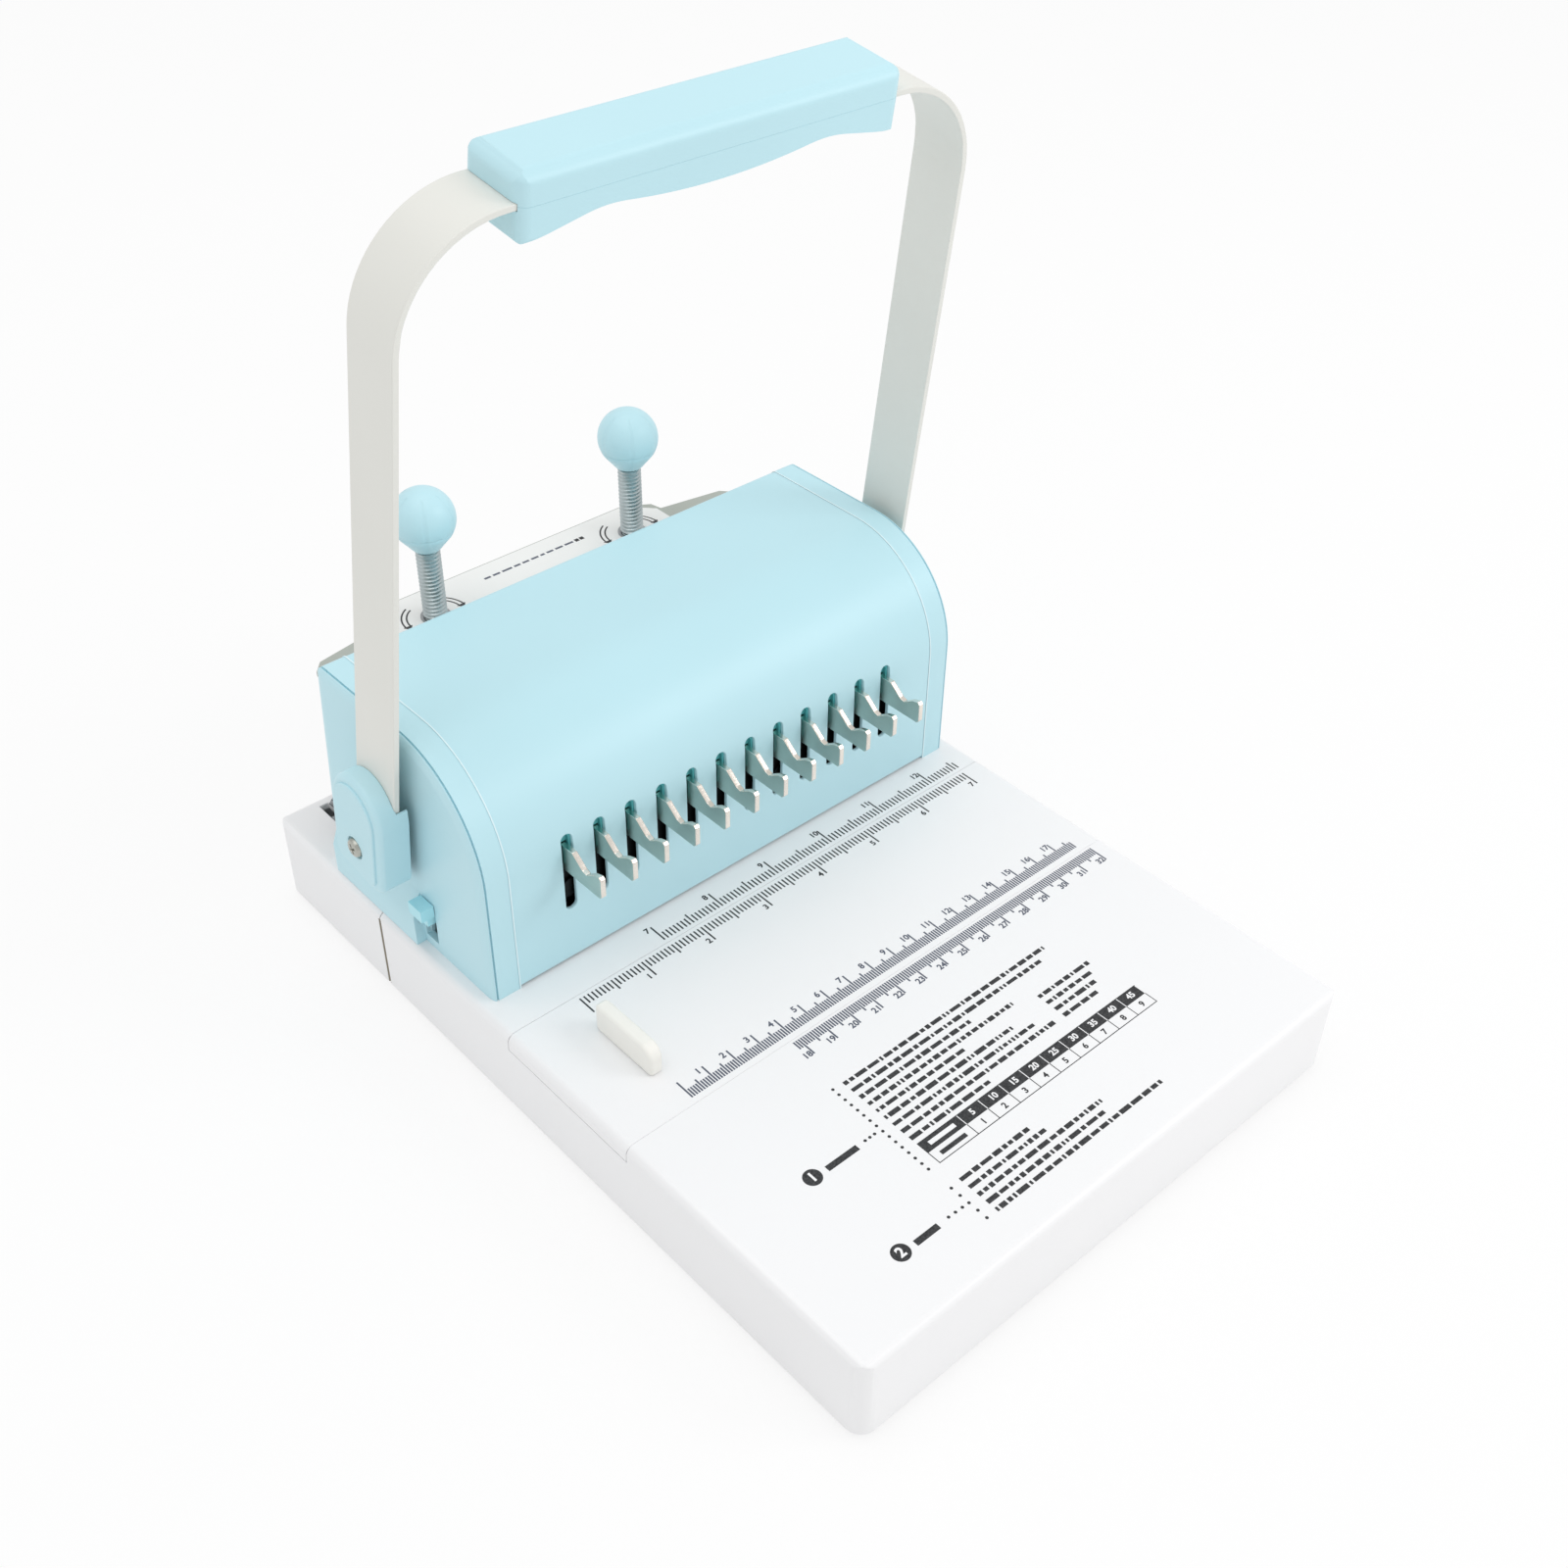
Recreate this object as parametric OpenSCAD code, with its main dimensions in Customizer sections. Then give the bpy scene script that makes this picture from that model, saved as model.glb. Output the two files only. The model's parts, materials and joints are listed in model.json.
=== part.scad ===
// Desk machine that punches sheets and opens binding combs, with a screw press for wire loops at the back.
// Millimetres. Origin on the table under the middle of the base, +X right, +Y back, +Z up.

/* [Base] */
// Width of the base, left to right
base_w = 216; // [212:1:235]
// Depth of the base, front to back
base_d = 305; // [285:1:340]
// Height of the base above its feet
base_h = 32.5; // [30:0.5:40]
// Wall of the base mouldings
base_wall = 3; // [2:0.25:3.5]
// Radius of the upright corners of the base
base_corner_r = 6; // [4:0.5:10]
// Radius of the top edges of the base
base_edge_r = 3; // [2:0.5:4]
// Height of the rubber feet
foot_h = 2; // [1.5:0.25:5]
// Radius of the rubber feet
foot_r = 7; // [4:0.5:10]
// Thickness of the bottom plate
bottom_t = 2.5; // [1.5:0.25:4]

/* [Guide strip] */
// Width of the sliding strip, front to back
strip_d = 60.5; // [50:0.5:75]
// Thickness of the sliding strip
strip_t = 6; // [4:0.5:8]
// Gap between the strip and the housing's front
strip_setback = 14.5; // [8:0.5:16]
// How far the strip pulls out to the left
strip_travel = 100; // [60:5:105]
// Width of the tongue's stem under the strip
tongue_w = 10; // [6:1:16]
// Width of the edge stop
stop_w = 5; // [4:0.5:8]
// Length of the edge stop
stop_len = 28; // [20:1:40]
// Height of the edge stop
stop_h = 11; // [8:0.5:16]
// Distance of the edge stop's outer face from the base's left side
stop_inset = 23; // [13:1:38]

/* [Housing] */
// Distance from the base's side to the end cap's panel
house_margin = 5.4; // [4.5:0.1:6]
// Distance from the base's rear to the housing's front
house_setback = 128.5; // [126:0.5:134]
// Height of the housing above the base
house_h = 86; // [82:0.5:96]
// Depth of the housing along its top
house_d = 86.7; // [84:0.5:89]
// Radius of the curved front
front_r = 40; // [34:0.5:42]
// Radius of the rear top edge
rear_r = 3; // [2:0.5:8]
// Lean of the rear face, degrees
rear_lean = 6; // [3:0.5:8]
// Wall of the end caps
cap_wall = 2; // [1.5:0.25:2.5]
// Width of an end cap along the housing
cap_w = 10.4; // [9.5:0.2:12]
// Thickness of the slotted cover
cover_t = 1.6; // [1:0.1:2]
// Height of the paper throat
throat_h = 2.8; // [2.4:0.1:3.4]

/* [Punch and hooks] */
// Number of punches and hooks
hook_count = 12; // [8:1:12]
// Spacing of punches and hooks
pitch = 12.7; // [11:0.1:12.7]
// Width of a punched hole
punch_w = 7; // [5:0.5:8]
// Depth of a punched hole
punch_d = 3; // [2.5:0.25:4]
// Thickness of a hook
hook_t = 2; // [1.5:0.1:2.6]
// Reach of a hook in front of the housing
hook_reach = 18; // [14:0.5:20]
// Height of a hook's tip
hook_tip_h = 8.8; // [7:0.2:10]
// Width of a slot in the cover
slot_w = 4.4; // [3.4:0.1:5]
// Thickness of the die plate
die_t = 4; // [3.5:0.25:5]
// Thickness of the stripper plate
stripper_t = 4; // [3.5:0.25:5]
// Thickness of the punch bar
bar_t = 10; // [8:0.5:11]
// Radius of the guide rods
rod_r = 3; // [2.5:0.25:3.5]

/* [Handle] */
// Height of the handle's pivot above the base
pivot_h = 42.5; // [41:0.5:45]
// Distance of the pivot behind the housing's front
pivot_setback = 49; // [47:0.5:51]
// Forward lean of the handle at rest, degrees
lean = 8.7; // [6:0.1:11]
// Height of the strap's top above the pivot
strap_top = 213; // [190:1:230]
// Width of the handle strap
strap_w = 21; // [18:0.5:21.5]
// Thickness of the handle strap
strap_t = 2; // [1.5:0.25:3]
// Inward lean of each arm, degrees
flare = 2.3; // [1.5:0.1:3.5]
// Outer radius of the strap's bends
bend_r = 35; // [22:0.5:38]
// Distance from a grip end to the start of the strap's bend
grip_end_gap = 2; // [1:0.2:20]
// Width of the grip
grip_w = 25; // [24:0.5:32]
// Height of the grip above the strap
grip_up = 8.4; // [7:0.2:12]
// Depth of the grip below the strap's top
grip_down = 10.75; // [10:0.25:14]
// Radius of the axle
axle_r = 5; // [4:0.25:5.5]
// Lift of the cams for each radian of turn
cam_k = 9; // [8.5:0.1:9.5]

/* [Closing press] */
// Distance between the two ball knobs
knob_spacing = 87; // [76:1:100]
// Radius of a ball knob
ball_r = 11; // [9:0.2:12]
// Radius of an adjusting screw
screw_r = 4.3; // [3.5:0.1:4.6]
// Height of a ball's centre above the shelf
ball_rise = 39.5; // [34:0.5:46]
// Height of the shelf above the base
shelf_h = 67.5; // [64:0.5:70]
// Thickness of the shelf's sheet
shelf_t = 2; // [1.5:0.25:3]
// Height of the closing bar
closer_h = 10; // [8:0.5:12]
// Open gap under the closing bar
wire_gap = 16; // [14:0.5:18]

/* [Hidden] */
$fn = 48;
// Clearance between sliding faces
slide_gap = 0.3;
// Radial clearance of running and of seated round fits
run_gap = 0.05;
seat_gap = 0.02;
// Clearance around a punch in its plates
punch_gap = 0.2;

// Heights
base_top = foot_h + base_h;
plate_top = foot_h + bottom_t;
house_top = base_top + house_h;
pivot_z = base_top + pivot_h;
shelf_top = base_top + shelf_h;

// Depths, measured from the rear of the base
back = base_d / 2;
house_front = back - house_setback;
strip_rear = house_front - strip_setback;
strip_front = strip_rear - strip_d;
seam_y = house_front + 60.3;
pivot_y = house_front + pivot_setback;
leg_rear = back - 5.5;
leg_top = base_top + 12;
shelf_rear = back - 0.7;
knob_y = back - 18.5;
leg_step_y = knob_y - 4.5;
leg_end = leg_rear - 6.5;

// Housing
half_w = base_w / 2 - house_margin;
cap_in = half_w - cap_w;
panel_t = 1.2;
groove_inset = 1.9;
groove_w = 0.9;
cover_inset = 0.1;
cover_lip = 1.2;
arc_y = house_front + front_r;
arc_z = house_top - front_r;
rear_top_y = house_front + house_d;

// Side frames stand between the tray and the side walls
frame_in = half_w - 12.6;
frame_t = 2.5;
frame_out = frame_in + frame_t;
frame_inset = 6;
frame_front = house_front + 8;
web_t = 2;
tab_bottom = base_top + 14;
tab_top = base_top + 45;
web_y = rear_y(tab_top) - (cap_wall + cover_inset) / cos(rear_lean) - slide_gap;
tab_screw_z = [tab_bottom + 6, tab_top - 6];

// Punch train
punch_y = house_front + 10;
stripper_z = base_top + throat_h;
stripper_top = stripper_z + stripper_t;
cam_start = 1;
cam_gap = 0.3;
cam_travel = 75;
bar_top = pivot_z - cam_k * cam_start - cam_gap;
bar_bottom = bar_top - bar_t;
bar_front = house_front + 6;
bar_rear = pivot_y - cam_k + 6;
hook_bar_t = 2.5;
hook_bar_y = bar_front - hook_bar_t;
hook_bar_top = bar_top + 16;
hook_z = bar_top + 4.5;
hook_root_h = 10;
hook_waist_h = 5.4;
press_stroke = cam_k * cam_travel * PI / 180;
slot_bottom = hook_z - press_stroke - 4.5;
slot_top = hook_z + hook_root_h + 4.5;
guide_x = frame_in - 12;
guide_y = house_front + 26;
rod_top = bar_top + 20;
row = [for (i = [0 : hook_count - 1]) (i - (hook_count - 1) / 2) * pitch];
plate_front = house_front + 5;
plate_rear = house_front + 31;
base_mouth = plate_front - slide_gap;
mouth_half = frame_out + 2.5;

// Springs on the guide rods
spring_wire_r = 0.55;
spring_r = rod_r + spring_wire_r + 0.5;
spring_turns = 7;
spring_pocket = 6;
spring_pocket_r = spring_r + spring_wire_r + 0.7;

// Handle
strap_x = half_w + 8;
strap_shift = 1;
strap_sink = 0.8;
grip_web = 2.5;
grip_crown = 2.2;
grip_foot_r = 1.5;
cap_gap = 2.9;
pivot_cap_r = strap_w / 2 + 3;
pivot_cap_rise = pivot_cap_r + 1.7;
pivot_wall_top = pivot_cap_r + 7;
pivot_cap_low = pivot_cap_r;
pivot_corner_r = 5;
pivot_cap_out = half_w + 14.2;
pivot_face_t = 0.8;
pivot_face_inset = 2.8;
screw_sink = 0.9;
spigot = 7;
arm_tail = 10;
shoulder_x = strap_x - strap_t - 0.6;
cam_x = guide_x - 18;
cam_t = 8;
bush_r = axle_r + 2.5;

// Screws shared by the frames, caps, bracket and grip
m4_r = 2;
m4_hole = 2.1;
m25_r = 1.25;
m25_hole = 1.35;
head_share = 1.8;
head_r = m4_r * head_share;

// Places in Y-Z where a screw passes through a side frame into a cross piece or an end cap
tie_d = 10;
tie_z = house_top - 11;
tie_y = rear_y(tie_z + tie_d / 2) - (cover_inset + cover_t) / cos(rear_lean) - seat_gap - tie_d / 2;
die_hole = [plate_rear - 4, base_top - die_t / 2];
stripper_hole = [plate_rear - 4, stripper_z + stripper_t / 2];
tie_hole = [tie_y, tie_z];
anvil_hole = [knob_y - 8, base_top + 3];
frame_holes = [die_hole, stripper_hole, tie_hole, anvil_hole];
cap_holes = [[arc_y - 12, arc_z + 16], [pivot_y + 26, pivot_z - 10]];

// Selector and backstop
tab_y = house_front + 34.5;
tab_w = 7.4;
tab_h = 4.6;
tab_out = 5.2;
tab_z = base_top + 18.7;
stem_w = 5;
tab_slot_half = stem_w / 2 + 0.7;
tab_travel = 3.5;
stop_ratio = 0.8;
peg_r = 1.5;
backstop_y = punch_y + punch_d / 2 + 2.5;
backstop_t = 1.6;
link_x = frame_out + 2.2;
link_t = 1.6;

// Closing press
anvil_z = base_top + 0.5;
anvil_t = 3;
anvil_front = knob_y - 12;
closer_z = anvil_z + anvil_t + wire_gap;
closer_top = closer_z + closer_h;
closer_d = 15;
closer_half = frame_in - 6;
foot_disc_r = 6;
foot_disc_h = 2;
foot_pin_r = 3;
foot_pin_len = 7;
keeper_r = 9;
bush_flange_h = 3;
knob_x = knob_spacing / 2;
ball_z = shelf_top + ball_rise;

// Drawer tray
tray_x = frame_in - 3;
tray_wall = 2;
tray_floor = plate_top + 3.5;
tray_front = house_front - 4;
tray_rim = base_top - 11;

WHITE = "#f1f1f0";
BLUE = "#b5e3ee";
STRAP = "#dcdcd6";
STEEL = "#a9adaf";
NICKEL = "#c9c7bd";

// Extrudes a Y-Z outline along X
module along_x(x0, x1) {
    translate([x0, 0, 0]) rotate([90, 0, 90]) linear_extrude(height = x1 - x0) children();
}

// Extrudes an X-Z outline along Y
module along_y(y0, y1) {
    translate([0, y1, 0]) rotate([90, 0, 0]) linear_extrude(height = y1 - y0) children();
}

// Extrudes an X-Y outline along Z
module along_z(z0, z1) {
    translate([0, 0, z0]) linear_extrude(height = z1 - z0) children();
}

module rod_x(x0, x1, y, z, r) {
    translate([x0, y, z]) rotate([0, 90, 0]) cylinder(r = r, h = x1 - x0);
}

module rod_y(y0, y1, x, z, r) {
    translate([x, y0, z]) rotate([-90, 0, 0]) cylinder(r = r, h = y1 - y0);
}

module block(x0, x1, y0, y1, z0, z1) {
    translate([x0, y0, z0]) cube([x1 - x0, y1 - y0, z1 - z0]);
}

module both_sides() {
    children();
    mirror([1, 0, 0]) children();
}

// Rectangle centred on X, from y = 0 up, with rounded corners
module round_rect(w, h, r) {
    translate([-w / 2 + r, 0]) square([w - 2 * r, h]);
    translate([-w / 2, r]) square([w, h - 2 * r]);
    for (x = [-w / 2 + r, w / 2 - r], y = [r, h - r]) translate([x, y]) circle(r);
}

// The same with only its upper corners rounded
module crown_rect(w, h, r) {
    translate([-w / 2, 0]) square([w, h - r]);
    translate([-w / 2 + r, 0]) square([w - 2 * r, h]);
    for (x = [-w / 2 + r, w / 2 - r]) translate([x, h - r]) circle(r);
}

// Moves the handle's own frame, with its arm along Z, to the pivot
module at_pivot() {
    translate([0, pivot_y, pivot_z]) rotate([lean, 0, 0]) children();
}

// Pan head with its seat at z = 0, above a plain shank
module pan_screw(shank_r, shank_len) {
    r = shank_r * head_share;
    h = shank_r * 1.2;
    translate([0, 0, -shank_len]) cylinder(r = shank_r, h = shank_len);
    intersection() {
        cylinder(r = r, h = h);
        translate([0, 0, h - 2 * r]) sphere(2 * r);
    }
}

// Outline of the whole base, rounded on its top edges and upright corners, shrunk by a wall
module base_form(wall, z0, z1) {
    w = base_w - 2 * wall;
    d = base_d - 2 * wall;
    corner = max(base_corner_r - wall, 1);
    edge = max(base_edge_r - wall, 1);
    intersection() {
        along_z(z0, z1) translate([0, -d / 2]) round_rect(w, d, corner);
        along_x(-w / 2, w / 2) translate([0, z0]) crown_rect(d, z1 - z0, edge);
        along_y(-d / 2, d / 2) translate([0, z0]) crown_rect(w, z1 - z0, edge);
    }
}

function rear_y(z) = rear_top_y + (house_top - z) * tan(rear_lean);

// Housing outline in Y-Z, shrunk by an inset on every side but its foot
module house_profile(inset) {
    r = front_r - inset;
    fillet = max(rear_r - inset, 1);
    top = house_top - inset;
    fillet_z = top - fillet;
    fillet_y = rear_y(fillet_z) - (inset + fillet) / cos(rear_lean);
    intersection() {
        translate([arc_y, arc_z]) circle(r, $fn = 96);
        translate([arc_y - r, arc_z]) square([r, r]);
    }
    translate([house_front + inset, base_top]) square([r, arc_z - base_top]);
    polygon([[arc_y, base_top], [rear_y(base_top) - inset / cos(rear_lean), base_top],
        [fillet_y + fillet * cos(rear_lean), fillet_z + fillet * sin(rear_lean)],
        [fillet_y, fillet_z], [fillet_y, top], [arc_y, top]]);
    translate([fillet_y, fillet_z]) circle(fillet);
}

// Base

module base_screw_places() {
    boss_x = base_w / 2 - 10.5;
    for (x = [-boss_x, boss_x], y = [-back + 12.5, strip_front - 9, strip_rear + 6])
        translate([x, y]) children();
}

// T-shaped room for the strip's tongue, grown by a gap
module tongue_profile(gap) {
    mid = (strip_front + strip_rear) / 2;
    stem_h = 4;
    foot_t = 3;
    lap = 1;
    top = base_top - strip_t;
    translate([mid - tongue_w / 2 - gap, top - stem_h - gap])
        square([tongue_w + 2 * gap, stem_h + gap + lap]);
    translate([mid - tongue_w / 2 - 4 - gap, top - stem_h - foot_t - gap])
        square([tongue_w + 8 + 2 * gap, foot_t + 2 * gap]);
}

module base_shell() {
    recess = base_top - strip_t - slide_gap;
    floor_t = base_wall;
    inner = base_w / 2 - base_wall;
    rail_half = tongue_w / 2 + 4 + 3;
    mid = (strip_front + strip_rear) / 2;
    color(WHITE) difference() {
        union() {
            difference() {
                intersection() {
                    base_form(0, foot_h, base_top);
                    block(-base_w, base_w, -base_d, seam_y, 0, base_top);
                }
                difference() {
                    base_form(base_wall, foot_h - 1, base_top - base_wall);
                    block(-base_w, base_w, strip_front - base_wall, strip_rear + base_wall,
                        recess - floor_t, base_top);
                    block(-inner, inner, mid - rail_half, mid + rail_half, recess - 10.5, base_top);
                }
            }
            along_z(plate_top, base_top - base_wall / 2) base_screw_places() circle(4.5);
        }
        block(-base_w, base_w, strip_front, strip_rear, recess, base_top + 1);
        along_x(-inner, inner) tongue_profile(slide_gap);
        block(-mouth_half, mouth_half, base_mouth, back, plate_top, base_top + 1);
        along_z(0, plate_top + 12) base_screw_places() circle(1.7);
    }
}

module bottom_plate() {
    edge = base_wall + 0.5;
    color(STEEL) difference() {
        along_z(foot_h, plate_top) translate([0, -back + edge])
            round_rect(base_w - 2 * edge, base_d - 2 * edge, max(base_corner_r - edge, 1));
        along_z(0, plate_top + 1) base_screw_places() circle(1.7);
        along_z(0, plate_top + 1) flange_screw_places() circle(m4_hole);
    }
}

module rubber_feet() {
    foot_x = base_w / 2 - 23;
    foot_y = back - 22;
    color("#3a3a3a") for (x = [-foot_x, foot_x], y = [-foot_y, foot_y])
        translate([x, y, 0]) cylinder(r1 = foot_r - 1, r2 = foot_r, h = foot_h);
}

module base_screws() {
    color(STEEL) translate([0, 0, foot_h]) {
        base_screw_places() mirror([0, 0, 1]) thin_screw(1.6, bottom_t + 10);
        flange_screw_places() mirror([0, 0, 1]) thin_screw(m4_r, bottom_t + frame_t - 0.2);
    }
}

// Flat-headed screw that stays within the height of the feet
module thin_screw(shank_r, shank_len) {
    translate([0, 0, -shank_len]) cylinder(r = shank_r, h = shank_len);
    cylinder(r = head_r, h = min(1.2, foot_h - 0.3));
}

module guide_strip() {
    inner = base_w / 2 - base_wall;
    tongue_end = inner - slide_gap;
    color(WHITE) {
        intersection() {
            base_form(0, foot_h, base_top);
            block(-base_w, base_w, strip_front + slide_gap, strip_rear - slide_gap,
                base_top - strip_t, base_top);
        }
        along_x(strip_travel - inner + slide_gap, tongue_end) tongue_profile(0);
    }
}

module edge_stop() {
    nose_r = stop_h * 0.45;
    stop_rear = strip_rear - 15.7;
    stop_front = stop_rear - stop_len;
    stop_left = stop_inset - base_w / 2;
    color("#ecebe4") along_x(stop_left, stop_left + stop_w) translate([0, base_top]) {
        translate([stop_front + nose_r, 0]) square([stop_len - nose_r, stop_h]);
        translate([stop_front, 0]) square([stop_len, stop_h - nose_r]);
        translate([stop_front + nose_r, stop_h - nose_r]) circle(nose_r);
    }
}

module chip_drawer() {
    joint_y = seam_y + slide_gap;
    slot_in = frame_in - 0.5;
    slot_out = frame_out + 0.5;
    color(WHITE) {
        difference() {
            intersection() {
                base_form(0, foot_h, base_top);
                block(-base_w, base_w, joint_y, base_d, 0, base_top);
            }
            base_form(base_wall, 0, base_top - base_wall);
            both_sides() block(slot_in, slot_out, 0, leg_rear + 0.5, plate_top, base_top + 1);
        }
        difference() {
            block(-tray_x, tray_x, tray_front, back - base_wall, tray_floor, tray_rim);
            block(-tray_x + tray_wall, tray_x - tray_wall, tray_front + tray_wall,
                back - base_wall - tray_wall,
                tray_floor + tray_wall, base_top);
        }
        both_sides() {
            block(tray_x - tray_wall, tray_x, joint_y + 6, back - base_wall, tray_rim, base_top - base_wall);
            block(56, 60, tray_front, back - base_wall, plate_top + slide_gap, tray_floor);
        }
    }
}

// Frames and plates

module flange_screw_places() {
    flange_x = frame_out + 5.5;
    for (x = [-flange_x, flange_x], y = [house_front + 22, house_front + 106]) translate([x, y]) children();
}

module side_frame() {
    difference() {
        union() {
            along_x(frame_in, frame_out) {
                intersection() {
                    house_profile(frame_inset);
                    translate([frame_front, 0]) square([web_y - frame_front - 4, house_top]);
                }
                translate([frame_front, plate_top]) square([leg_step_y - frame_front, leg_top - plate_top]);
                translate([frame_front, plate_top]) square([leg_end - frame_front, base_h - bottom_t - 1]);
                translate([arc_y, tab_bottom]) square([web_y - arc_y, tab_top - tab_bottom]);
            }
            block(frame_in - 10, frame_out, web_y - frame_t, web_y, tab_bottom, tab_top);
            block(frame_in, frame_out + 10.5, house_front + 14, house_front + 112,
                plate_top, plate_top + frame_t);
        }
        rod_x(0, base_w, pivot_y, pivot_z, bush_r + seat_gap);
        for (p = frame_holes) rod_x(0, base_w, p[0], p[1], m25_hole);
        for (p = cap_holes) rod_x(0, base_w, p[0], p[1], m4_hole);
        for (z = tab_screw_z) rod_y(0, base_d, frame_in - 5, z, m4_hole);
        along_z(0, plate_top + frame_t + 1) flange_screw_places() circle(m4_hole);
        block(0, base_w, backstop_y - 0.5, backstop_y + 6, base_top, stripper_z);
    }
}

module right_side_frame() {
    color(STEEL) side_frame();
}

module left_side_frame() {
    color(STEEL) mirror([1, 0, 0]) side_frame();
}

// Row of punch holes through a plate
module punch_holes(gap) {
    for (x = row) translate([x - punch_w / 2 - gap, punch_y - punch_d / 2 - gap])
        square([punch_w + 2 * gap, punch_d + 2 * gap]);
}

// Screw holes in the ends of a piece that spans the two frames
module end_holes(place) {
    both_sides() rod_x(frame_in - 8, frame_in + 1, place[0], place[1], m25_hole);
}

module die_plate() {
    color(STEEL) difference() {
        block(-frame_in, frame_in, plate_front, plate_rear, base_top - die_t, base_top);
        along_z(0, base_top + 1) punch_holes(punch_gap);
        end_holes(die_hole);
    }
}

module stripper_plate() {
    color(STEEL) difference() {
        block(-frame_in, frame_in, plate_front + 1, plate_rear, stripper_z, stripper_top);
        along_z(0, stripper_top + 1) punch_holes(punch_gap);
        both_sides() translate([guide_x, guide_y, 0]) cylinder(r = rod_r + seat_gap, h = stripper_top + 1);
        end_holes(stripper_hole);
    }
}

module guide_rods() {
    color(NICKEL) both_sides() translate([guide_x, guide_y, stripper_z])
        cylinder(r = rod_r, h = rod_top - stripper_z);
}

// One ring of a coil's round wire, at a share of its turns
function wire_ring(share, low, rise) = let (a = 360 * spring_turns * share) [for (s = [0 : 5])
    let (c = 60 * s, r = spring_r + spring_wire_r * cos(c))
    [r * cos(a), r * sin(a), low + rise * share + spring_wire_r * sin(c)]];

module coil(low, high) {
    rings = spring_turns * 8;
    seat = spring_wire_r + 0.1;
    rise = high - low - 2 * seat;
    points = [for (i = [0 : rings]) each wire_ring(i / rings, low + seat, rise)];
    sides = [for (i = [0 : rings - 1], s = [0 : 5]) let (a = 6 * i + s, b = 6 * i + (s + 1) % 6)
        each [[a, a + 6, b], [b, a + 6, b + 6]]];
    caps = [for (s = [1 : 4]) each [[0, s, s + 1], [6 * rings, 6 * rings + s + 1, 6 * rings + s]]];
    polyhedron(points = points, faces = concat(sides, caps));
    echo(coil_gap = rise / spring_turns - 2 * spring_wire_r);
}

module return_springs() {
    color(STEEL) for (x = [-guide_x, guide_x]) translate([x, guide_y, 0])
        coil(stripper_top, bar_bottom + spring_pocket);
}

module tie_bar() {
    half = tie_d / 2;
    color(STEEL) difference() {
        block(-frame_in, frame_in, tie_y - half, tie_y + half, tie_z - half, tie_z + half);
        end_holes(tie_hole);
        for (x = cover_screw_x) rod_y(tie_y - 1, tie_y + tie_d, x, tie_z, m4_hole);
    }
}

module frame_screws() {
    color(NICKEL) both_sides() for (p = frame_holes)
        translate([frame_out, p[0], p[1]]) rotate([0, 90, 0]) pan_screw(m25_r, frame_t + 7);
}

module axle_bushes() {
    color("#b08d4a") both_sides() difference() {
        union() {
            rod_x(frame_in - 3, frame_out + 2, pivot_y, pivot_z, bush_r);
            rod_x(frame_out, frame_out + 2, pivot_y, pivot_z, bush_r + 2);
        }
        rod_x(0, base_w, pivot_y, pivot_z, axle_r + run_gap);
    }
}

// Housing

cover_screw_x = [-60, -20, 20, 60];

module slot_row() {
    for (x = row) {
        translate([x - slot_w / 2, slot_bottom + slot_w / 2])
            square([slot_w, slot_top - slot_bottom - slot_w]);
        for (z = [slot_bottom + slot_w / 2, slot_top - slot_w / 2]) translate([x, z]) circle(slot_w / 2);
    }
}

module slotted_cover() {
    color(BLUE) difference() {
        along_x(-cap_in, cap_in) difference() {
            house_profile(cover_inset);
            house_profile(cover_inset + cover_t);
        }
        block(-base_w, base_w, 0, arc_y, 0, base_top + cover_lip);
        block(-base_w, base_w, arc_y, base_d, 0, shelf_top + 2);
        along_y(house_front - 5, house_front + 5) slot_row();
        for (x = cover_screw_x) rod_y(tie_y, base_d, x, tie_z, m4_hole);
    }
}

module cover_screws() {
    seat_y = rear_y(tie_z) - cover_inset / cos(rear_lean) + head_r * tan(rear_lean);
    color(NICKEL) for (x = cover_screw_x) translate([x, seat_y, tie_z]) rotate([-90, 0, 0])
        pan_screw(m4_r, seat_y - tie_y);
}

// Pad that spreads the cap's foot to the edge of the base, behind the selector
module foot_pad() {
    pad_x = base_w / 2 - 1.8;
    upright = 12;
    top = 28;
    inner = half_w - panel_t - cap_wall;
    along_y(tab_y + 4.6, house_front + 89) polygon([[inner, base_top], [pad_x, base_top],
        [pad_x, base_top + upright], [half_w, base_top + top], [inner, base_top + top]]);
}

// Right-hand end cap: a shell with a groove round its side panel, a lip under the cover and two screw bosses
module end_cap() {
    lip_gap = 0.1;
    lip_in = cover_inset + cover_t + lip_gap;
    wall_x = half_w - panel_t;
    difference() {
        union() {
            along_x(cap_in, wall_x) difference() {
                house_profile(0);
                house_profile(cap_wall + cover_inset);
            }
            along_x(cap_in - 4, cap_in + 2) intersection() {
                difference() {
                    house_profile(lip_in);
                    house_profile(lip_in + 1.6);
                }
                translate([0, stripper_z]) square([arc_y + 30, house_h]);
            }
            along_x(wall_x - cap_wall, wall_x) house_profile(0);
            along_x(wall_x, half_w) {
                difference() {
                    house_profile(0);
                    house_profile(groove_inset);
                }
                house_profile(groove_inset + groove_w);
            }
            for (p = cap_holes) rod_x(frame_out, wall_x, p[0], p[1], 5);
            foot_pad();
        }
        rod_x(0, base_w, pivot_y, pivot_z, axle_r + 1);
        for (p = cap_holes) rod_x(0, wall_x - 1, p[0], p[1], m4_hole);
        block(0, frame_out + slide_gap, arc_y, base_d, 0, leg_top + slide_gap);
    }
}

module right_end_cap() {
    color(BLUE) end_cap();
}

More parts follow.
